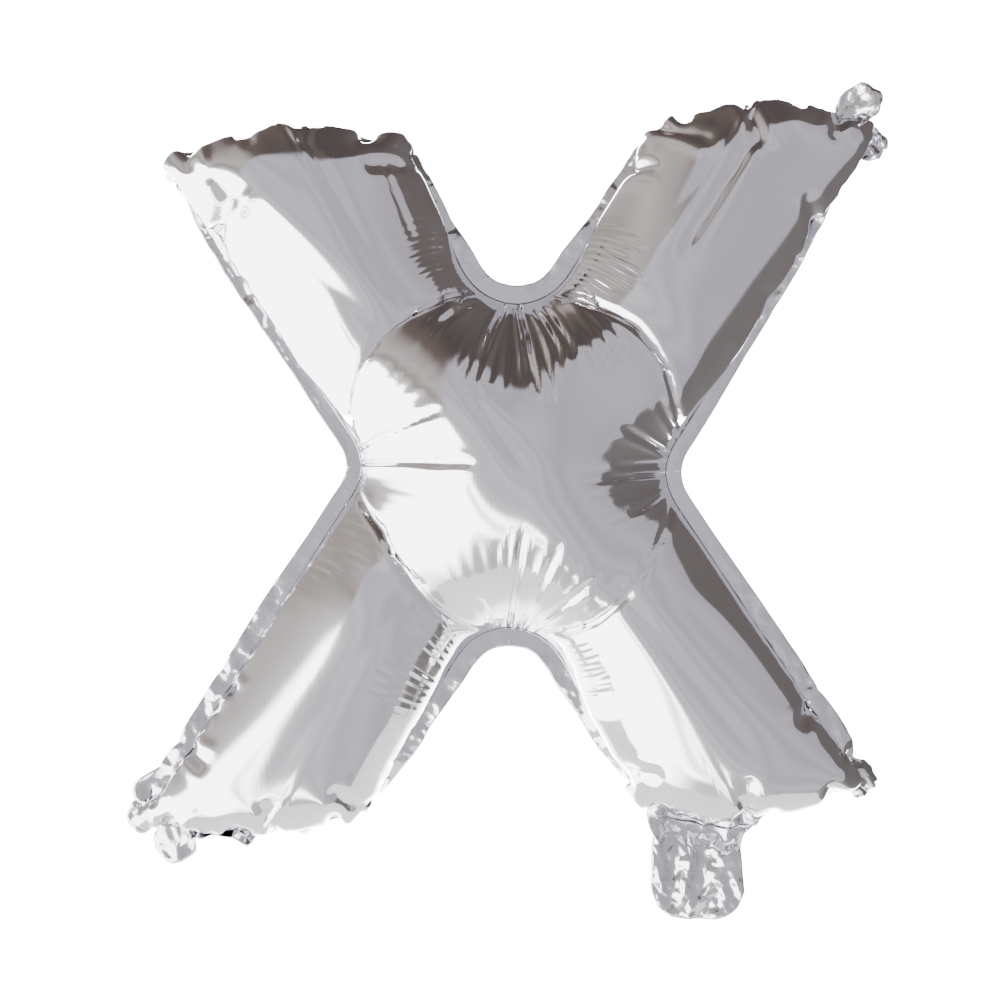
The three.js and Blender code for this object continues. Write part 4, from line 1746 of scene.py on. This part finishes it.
@dataclass
class Margins:
    """The welded margin in eight stretches: one round each notch and one round each tip."""

    inflation: Inflation
    thickness: float = 0.0002
    crumple_mm: float = 1.5

    def stretches(self) -> list[tuple[str, int, int]]:
        """Cuts the margin into its stretches.

        Returns:
            For each stretch its name, its first column and its last.
        """
        out = []
        for i, arm in enumerate(FLAT_ARMS):
            out.append((f"{arm.before}_notch_margin", i * PER - ALONG, i * PER + ALONG))
            out.append((f"{arm.name}_tip_margin", i * PER + ALONG, (i + 1) * PER - ALONG))
        return out

    def build(self, finish: bpy.types.Material) -> list[bpy.types.Object]:
        """Builds the eight stretches.

        Args:
            finish: their finish.

        Returns:
            The stretches.
        """
        grid = self.inflation.points[self.inflation.mesh.grids["margin"]]
        fine = doubled(self.laid(grid), closed=True)
        pieces = []
        for name, first, last in self.stretches():
            columns = np.arange(2 * first, 2 * last + 1)
            band = fine[:, columns % fine.shape[1]].copy()
            self.crumple(band, "notch" in name)
            piece = grid_piece(name, band, finish, self.thickness)
            pieces.append(piece)
        return pieces

    def laid(self, grid: np.ndarray) -> np.ndarray:
        """Lays the margin in or out and bends it back along the weld, and spreads its ears.

        Args:
            grid: the margin's points, in metres.

        Returns:
            The points as they are seen.
        """
        grid = grid.copy()
        seen, back = np.ones(grid.shape[1]), np.zeros(grid.shape[1])
        for index, arm in enumerate(FLAT_ARMS):
            tip = index * PER + ALONG + np.arange(ACROSS + 1)
            for columns, lay, places in (
                (strip_columns(index), LAYS[arm.before], self.inflation.places(index)),
                (tip, LAYS[arm.name], self.inflation.tip_places(index)),
            ):
                seen[columns] = lay.at(places, Laid.SEEN)
                back[columns] = lay.at(places, Laid.BACK)
        rows = np.linspace(0, 1, len(grid))[:, None]
        grid = grid[:1] + (grid - grid[:1]) * seen[None, :, None]
        grid[:, :, 1] += rows**1.5 * back[None] * MM
        for ear in EARS:
            ear.spread(grid)
        return grid

    @staticmethod
    def grain(point: np.ndarray) -> float:
        """Height of the crumples at a point: a coarse noise and a fine one."""
        return noise.noise(Vector(point) * 130) + 0.25 * noise.noise(Vector(point) * 380)

    def crumple(self, band: np.ndarray, calm: bool, fading: int = 12) -> None:
        """Presses the fine crumples of the weld bar into a band, least at its inner edge.

        Args:
            band: the band's points, in metres, which are moved.
            calm: leaves the middle of the band nearly smooth, as it is round a notch.
            fading: columns over which the crumples fade out at both ends.
        """
        rows = np.linspace(0, 1, band.shape[0])[:, None]
        columns = np.arange(band.shape[1])
        ends = np.minimum(1, np.minimum(columns, columns[::-1]) / fading)[None]
        share = np.abs(np.linspace(-1, 1, band.shape[1]))[None]
        size = self.crumple_mm * MM * (0.15 + 0.85 * rise(share, 0.35, 0.2) if calm else 1.0)
        rough = np.array([[self.grain(point) for point in row] for row in band])
        band[:, :, 1] += size * rough * np.minimum(1, rows * 3) * ends


@dataclass
class Tail:
    """The filling tail: two plies of foil with the clear valve tube between them."""

    inflation: Inflation
    thickness: float = 0.0001
    gap: float = 0.0006
    drawn_up: float = 0.93
    bow_mm: float = 1.2
    least_rows: int = 40
    valve_part: tuple[float, float, float] = (0.7, 0.24, 0.76)

    def build(self, foil: bpy.types.Material, clear: bpy.types.Material) -> list[bpy.types.Object]:
        """Builds both plies and the valve.

        Args:
            foil: the plies' finish.
            clear: the valve's finish.

        Returns:
            The three sheets.
        """
        grid = self.inflation.points[self.inflation.mesh.grids["tail"]]
        grid[:, :, 2] = grid[:1, :, 2] + (grid[:, :, 2] - grid[:1, :, 2]) * self.drawn_up
        while grid.shape[0] < self.least_rows:
            grid = doubled(grid)
        pieces = []
        for name, side, seed in (("tail_front_ply", -1, 3.1), ("tail_back_ply", 1, 8.7)):
            ply = grid.copy()
            self.crumple(ply, side, seed)
            piece = grid_piece(name, ply, foil, self.thickness)
            pieces.append(piece)
        pieces.append(self.valve(grid, clear))
        return pieces

    @staticmethod
    def ridge(point: np.ndarray, seed: float) -> float:
        """Height of the ridges at a point, in millimetres: long sharp ones and small ones."""
        long_ridge = 1 - abs(noise.noise(Vector((point[0] * 80 + seed, seed, point[2] * 48)))) * 2.2
        return 3.0 * long_ridge + 1.6 * abs(noise.noise(Vector((point[0] * 210, seed + 4, point[2] * 190))))

    def crumple(self, ply: np.ndarray, side: int, seed: float) -> None:
        """Folds a ply in a few sharp ridges, and keeps it on its own side of the middle.

        Args:
            ply: the ply's points, in metres, which are moved.
            side: -1 for the front ply, 1 for the back one.
            seed: shifts the ridges.
        """
        height = np.array([[self.ridge(point, seed) for point in row] for row in ply])
        ease = np.minimum(1, np.linspace(0, 1, len(ply))[:, None] * 4)
        ply[:, :, 1] += side * (self.gap + MM * (self.bow_mm + height) * ease)

    def valve(self, grid: np.ndarray, finish: bpy.types.Material) -> bpy.types.Object:
        """The valve tube, between the plies.

        Args:
            grid: the tail's middle sheet, in metres.
            finish: its finish.

        Returns:
            The tube.
        """
        rows, columns = grid.shape[:2]
        down, first, last = (int(n * share) for n, share in zip((rows, columns, columns), self.valve_part))
        sleeve = grid_piece("valve_sleeve", grid[:down, first:last], finish, self.thickness)
        return sleeve


# Studio.


@dataclass
class Studio:
    """A pale floor that sweeps up behind, soft light that a mirror can reflect, and the camera."""

    distance: float = 1.3
    centre: tuple[float, float, float] = (-0.0065, 0.0, -0.0175)
    view: float = 0.5
    sensor: int = 36
    toward_upper_right: tuple[float, float, float] = (0.78, 0.0, 0.62)
    toward_back_left: tuple[float, float, float] = (-0.47, 1.0, 0.0)
    # Where the part in front of the balloon ends, and how the palest tones are made to glare.
    front_edge: Pair = (-0.62, -0.55)
    pale: Pair = (0.80, 1.0)
    strength: Pair = (1.4, 8.0)
    in_front: Stops = (
        (0.0, "#FFFFFF"), (0.22, "#FFFFFF"), (0.25, "#EDEDEF"), (0.28, "#FFFFFF"), (0.33, "#D9D8DC"),
        (0.37, "#C7C6CC"), (0.41, "#D3D2D7"), (0.46, "#BDBBC2"), (0.52, "#C6C4CB"), (0.58, "#B3B0B7"),
        (0.66, "#BFBCC3"), (0.74, "#ACA9B0"), (0.84, "#B8B5BB"), (1.0, "#A5A1A6"),
    )
    round_about: Stops = (
        (0.0, "#FFFFFF"), (0.17, "#FFFFFF"), (0.25, "#DCDBDA"), (0.32, "#C6C2C0"), (0.365, "#928D8B"),
        (0.40, "#767170"), (0.44, "#6B6665"), (0.50, "#636060"), (0.62, "#605957"), (0.75, "#4B4543"),
        (0.81, "#645A54"), (0.845, "#A59E9B"), (0.88, "#BDB8B5"), (0.915, "#9C938D"), (0.945, "#D8D4D1"),
        (0.97, "#FFFFFF"), (1.0, "#FFFFFF"),
    )
    # The floor's lines from front to back: how far back, how high and half how wide, in metres.
    floor_lines: Rows = (
        (-0.12, 0.0, 0.26), (0.2, 0.0, 0.34), (0.5, 0.0, 0.46), (0.9, 0.0, 0.62), (1.7, 0.0, 0.9),
        (2.6, 0.0, 1.4),
    )
    sweep_radius: float = 0.8
    sweep_half_width: float = 1.6
    sweep_height: float = 2.3
    floor_height: float = -0.35
    # The floor glows a little near the camera and strongly from a place behind the balloon on.
    glow_from: Pair = (0.1, 0.45)
    glow: Pair = (0.4, 16.0)

    def build(self) -> None:
        """Builds all of it."""
        self.camera()
        self.light()
        self.floor()

    def camera(self) -> None:
        """Sets the camera level with the balloon, square to its front."""
        data = bpy.data.cameras.new("camera")
        data.sensor_width = self.sensor
        data.lens = self.sensor * self.distance / self.view
        camera = bpy.data.objects.new("camera", data)
        bpy.context.scene.collection.objects.link(camera)
        camera.location = Vector(self.centre) + Vector((0, -self.distance, 0))
        camera.rotation_euler = (math.radians(90), 0, 0)
        bpy.context.scene.camera = camera

    def light(self) -> None:
        """Lights the studio from all round: white low and left, dim high and right."""
        world = bpy.data.worlds.new("studio")
        bpy.context.scene.world = world
        tree = cleared(world)
        direction = node(tree, "ShaderNodeTexCoord").outputs["Generated"]
        axes = node(tree, "ShaderNodeSeparateXYZ", {0: direction}).outputs
        # In front of the balloon: pale grey, white toward the lower left.
        tilt = self.dot(tree, direction, self.toward_upper_right)
        front = self.ramp(tree, tilt, (-1.0, 1.0), self.in_front)
        # Round the sides: dim above and to the right, white on the left, pale below.
        angle = node(tree, "ShaderNodeMath", {0: axes[2], 1: axes[0]}, operation="ARCTAN2")
        sides = self.ramp(tree, angle.outputs[0], (-math.pi, math.pi), self.round_about)
        lean = self.dot(tree, direction, self.toward_back_left)
        edge = node(
            tree, "ShaderNodeMapRange", {0: lean}, spans(self.front_edge, (0.0, 1.0)),
            interpolation_type="SMOOTHSTEP",
        )
        sky = node(tree, "ShaderNodeMix", {0: edge.outputs[0], 6: front, 7: sides}, data_type="RGBA")
        glare = node(tree, "ShaderNodeMapRange", {0: sky.outputs[2]}, spans(self.pale, self.strength))
        sky = node(tree, "ShaderNodeBackground", {0: sky.outputs[2], 1: glare.outputs[0]})
        node(tree, "ShaderNodeOutputWorld", {0: sky.outputs[0]})

    @staticmethod
    def dot(
        tree: bpy.types.NodeTree, value: bpy.types.NodeSocket, along: tuple[float, float, float],
    ) -> bpy.types.NodeSocket:
        """Adds the dot product of a vector with a fixed one and gives its value output."""
        product = node(tree, "ShaderNodeVectorMath", {0: value}, {1: along}, operation="DOT_PRODUCT")
        return product.outputs["Value"]

    @staticmethod
    def ramp(
        tree: bpy.types.NodeTree, value: bpy.types.NodeSocket, span: Pair, stops: Stops,
    ) -> bpy.types.NodeSocket:
        """Adds a colour ramp over a span of values.

        Args:
            tree: the node tree.
            value: the output that the ramp follows.
            span: the values at its first and its last colour.
            stops: place, 0 to 1, and sRGB hex code of each colour.

        Returns:
            The colour output.
        """
        share = node(tree, "ShaderNodeMapRange", {0: value}, spans(span, (0.0, 1.0)))
        ramp = node(tree, "ShaderNodeValToRGB", {0: share.outputs[0]})
        elements = ramp.color_ramp.elements
        elements[0].position, elements[0].color = stops[0][0], srgb(stops[0][1])
        elements[1].position, elements[1].color = stops[-1][0], srgb(stops[-1][1])
        for place, code in stops[1:-1]:
            elements.new(place).color = srgb(code)
        return ramp.outputs[0]

    def floor(self) -> None:
        """Lays the pale floor with its sweep."""
        back, radius, wide = self.floor_lines[-1][0], self.sweep_radius, self.sweep_half_width
        profile = list(self.floor_lines)
        for a in np.linspace(0.15, math.pi / 2, 12):
            profile.append((back + radius * math.sin(a), radius - radius * math.cos(a), wide))
        profile.append((back + radius, self.sweep_height, wide))
        rows = [[(x * half, y, z + self.floor_height) for y, z, half in profile] for x in (-1, 1)]
        points = np.array(rows).reshape(-1, 3)
        faces = quads(np.arange(len(points)).reshape(2, -1).T)
        material = bpy.data.materials.new("painted_sweep")
        tree = cleared(material)
        depth = node(tree, "ShaderNodeSeparateXYZ", {0: node(tree, "ShaderNodeTexCoord").outputs["Object"]})
        glow = node(tree, "ShaderNodeMapRange", {0: depth.outputs[1]}, spans(self.glow_from, self.glow))
        shader = node(
            tree, "ShaderNodeBsdfPrincipled", {"Emission Strength": glow.outputs[0]},
            {"Base Color": srgb("#F4F4F4"), "Roughness": 0.9, "Emission Color": srgb("#FFFFFF")},
        )
        node(tree, "ShaderNodeOutputMaterial", {0: shader.outputs[0]})
        floor = new_piece("sweep", points, faces, material)


def main() -> None:
    """Builds the studio and the balloon."""
    logging.basicConfig(level=logging.INFO, format="%(message)s")
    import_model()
    bpy.ops.object.select_all(action="DESELECT")
    Studio().build()
    inflation = Inflation(Outline(FLAT_NOTCHES, FLAT_ARMS), Outline(FULL_NOTCHES, FULL_ARMS))
    inflation.fill(RUNS)
    inflation.refine()
    inflation.even_weld()
    inflation.shift_crease()
    inflation.bulge()
    draw_in(inflation)
    Wrinkles(inflation, Layer.FRONT, 21).press()
    Wrinkles(inflation, Layer.BACK, 57).press()
    foil, welded, clear = MirrorFoil().make(), WeldedFoil().make(), ValveFilm().make()
    pieces = [
        Film("front_film", Layer.FRONT, inflation).build(foil),
        Film("back_film", Layer.BACK, inflation).build(foil),
        *Margins(inflation).build(welded),
        *Tail(inflation).build(welded, clear),
    ]
    for piece in pieces:
        LOG.info("%s: %d faces", piece.name, len(piece.data.polygons))


if __name__ == "__main__":
    main()
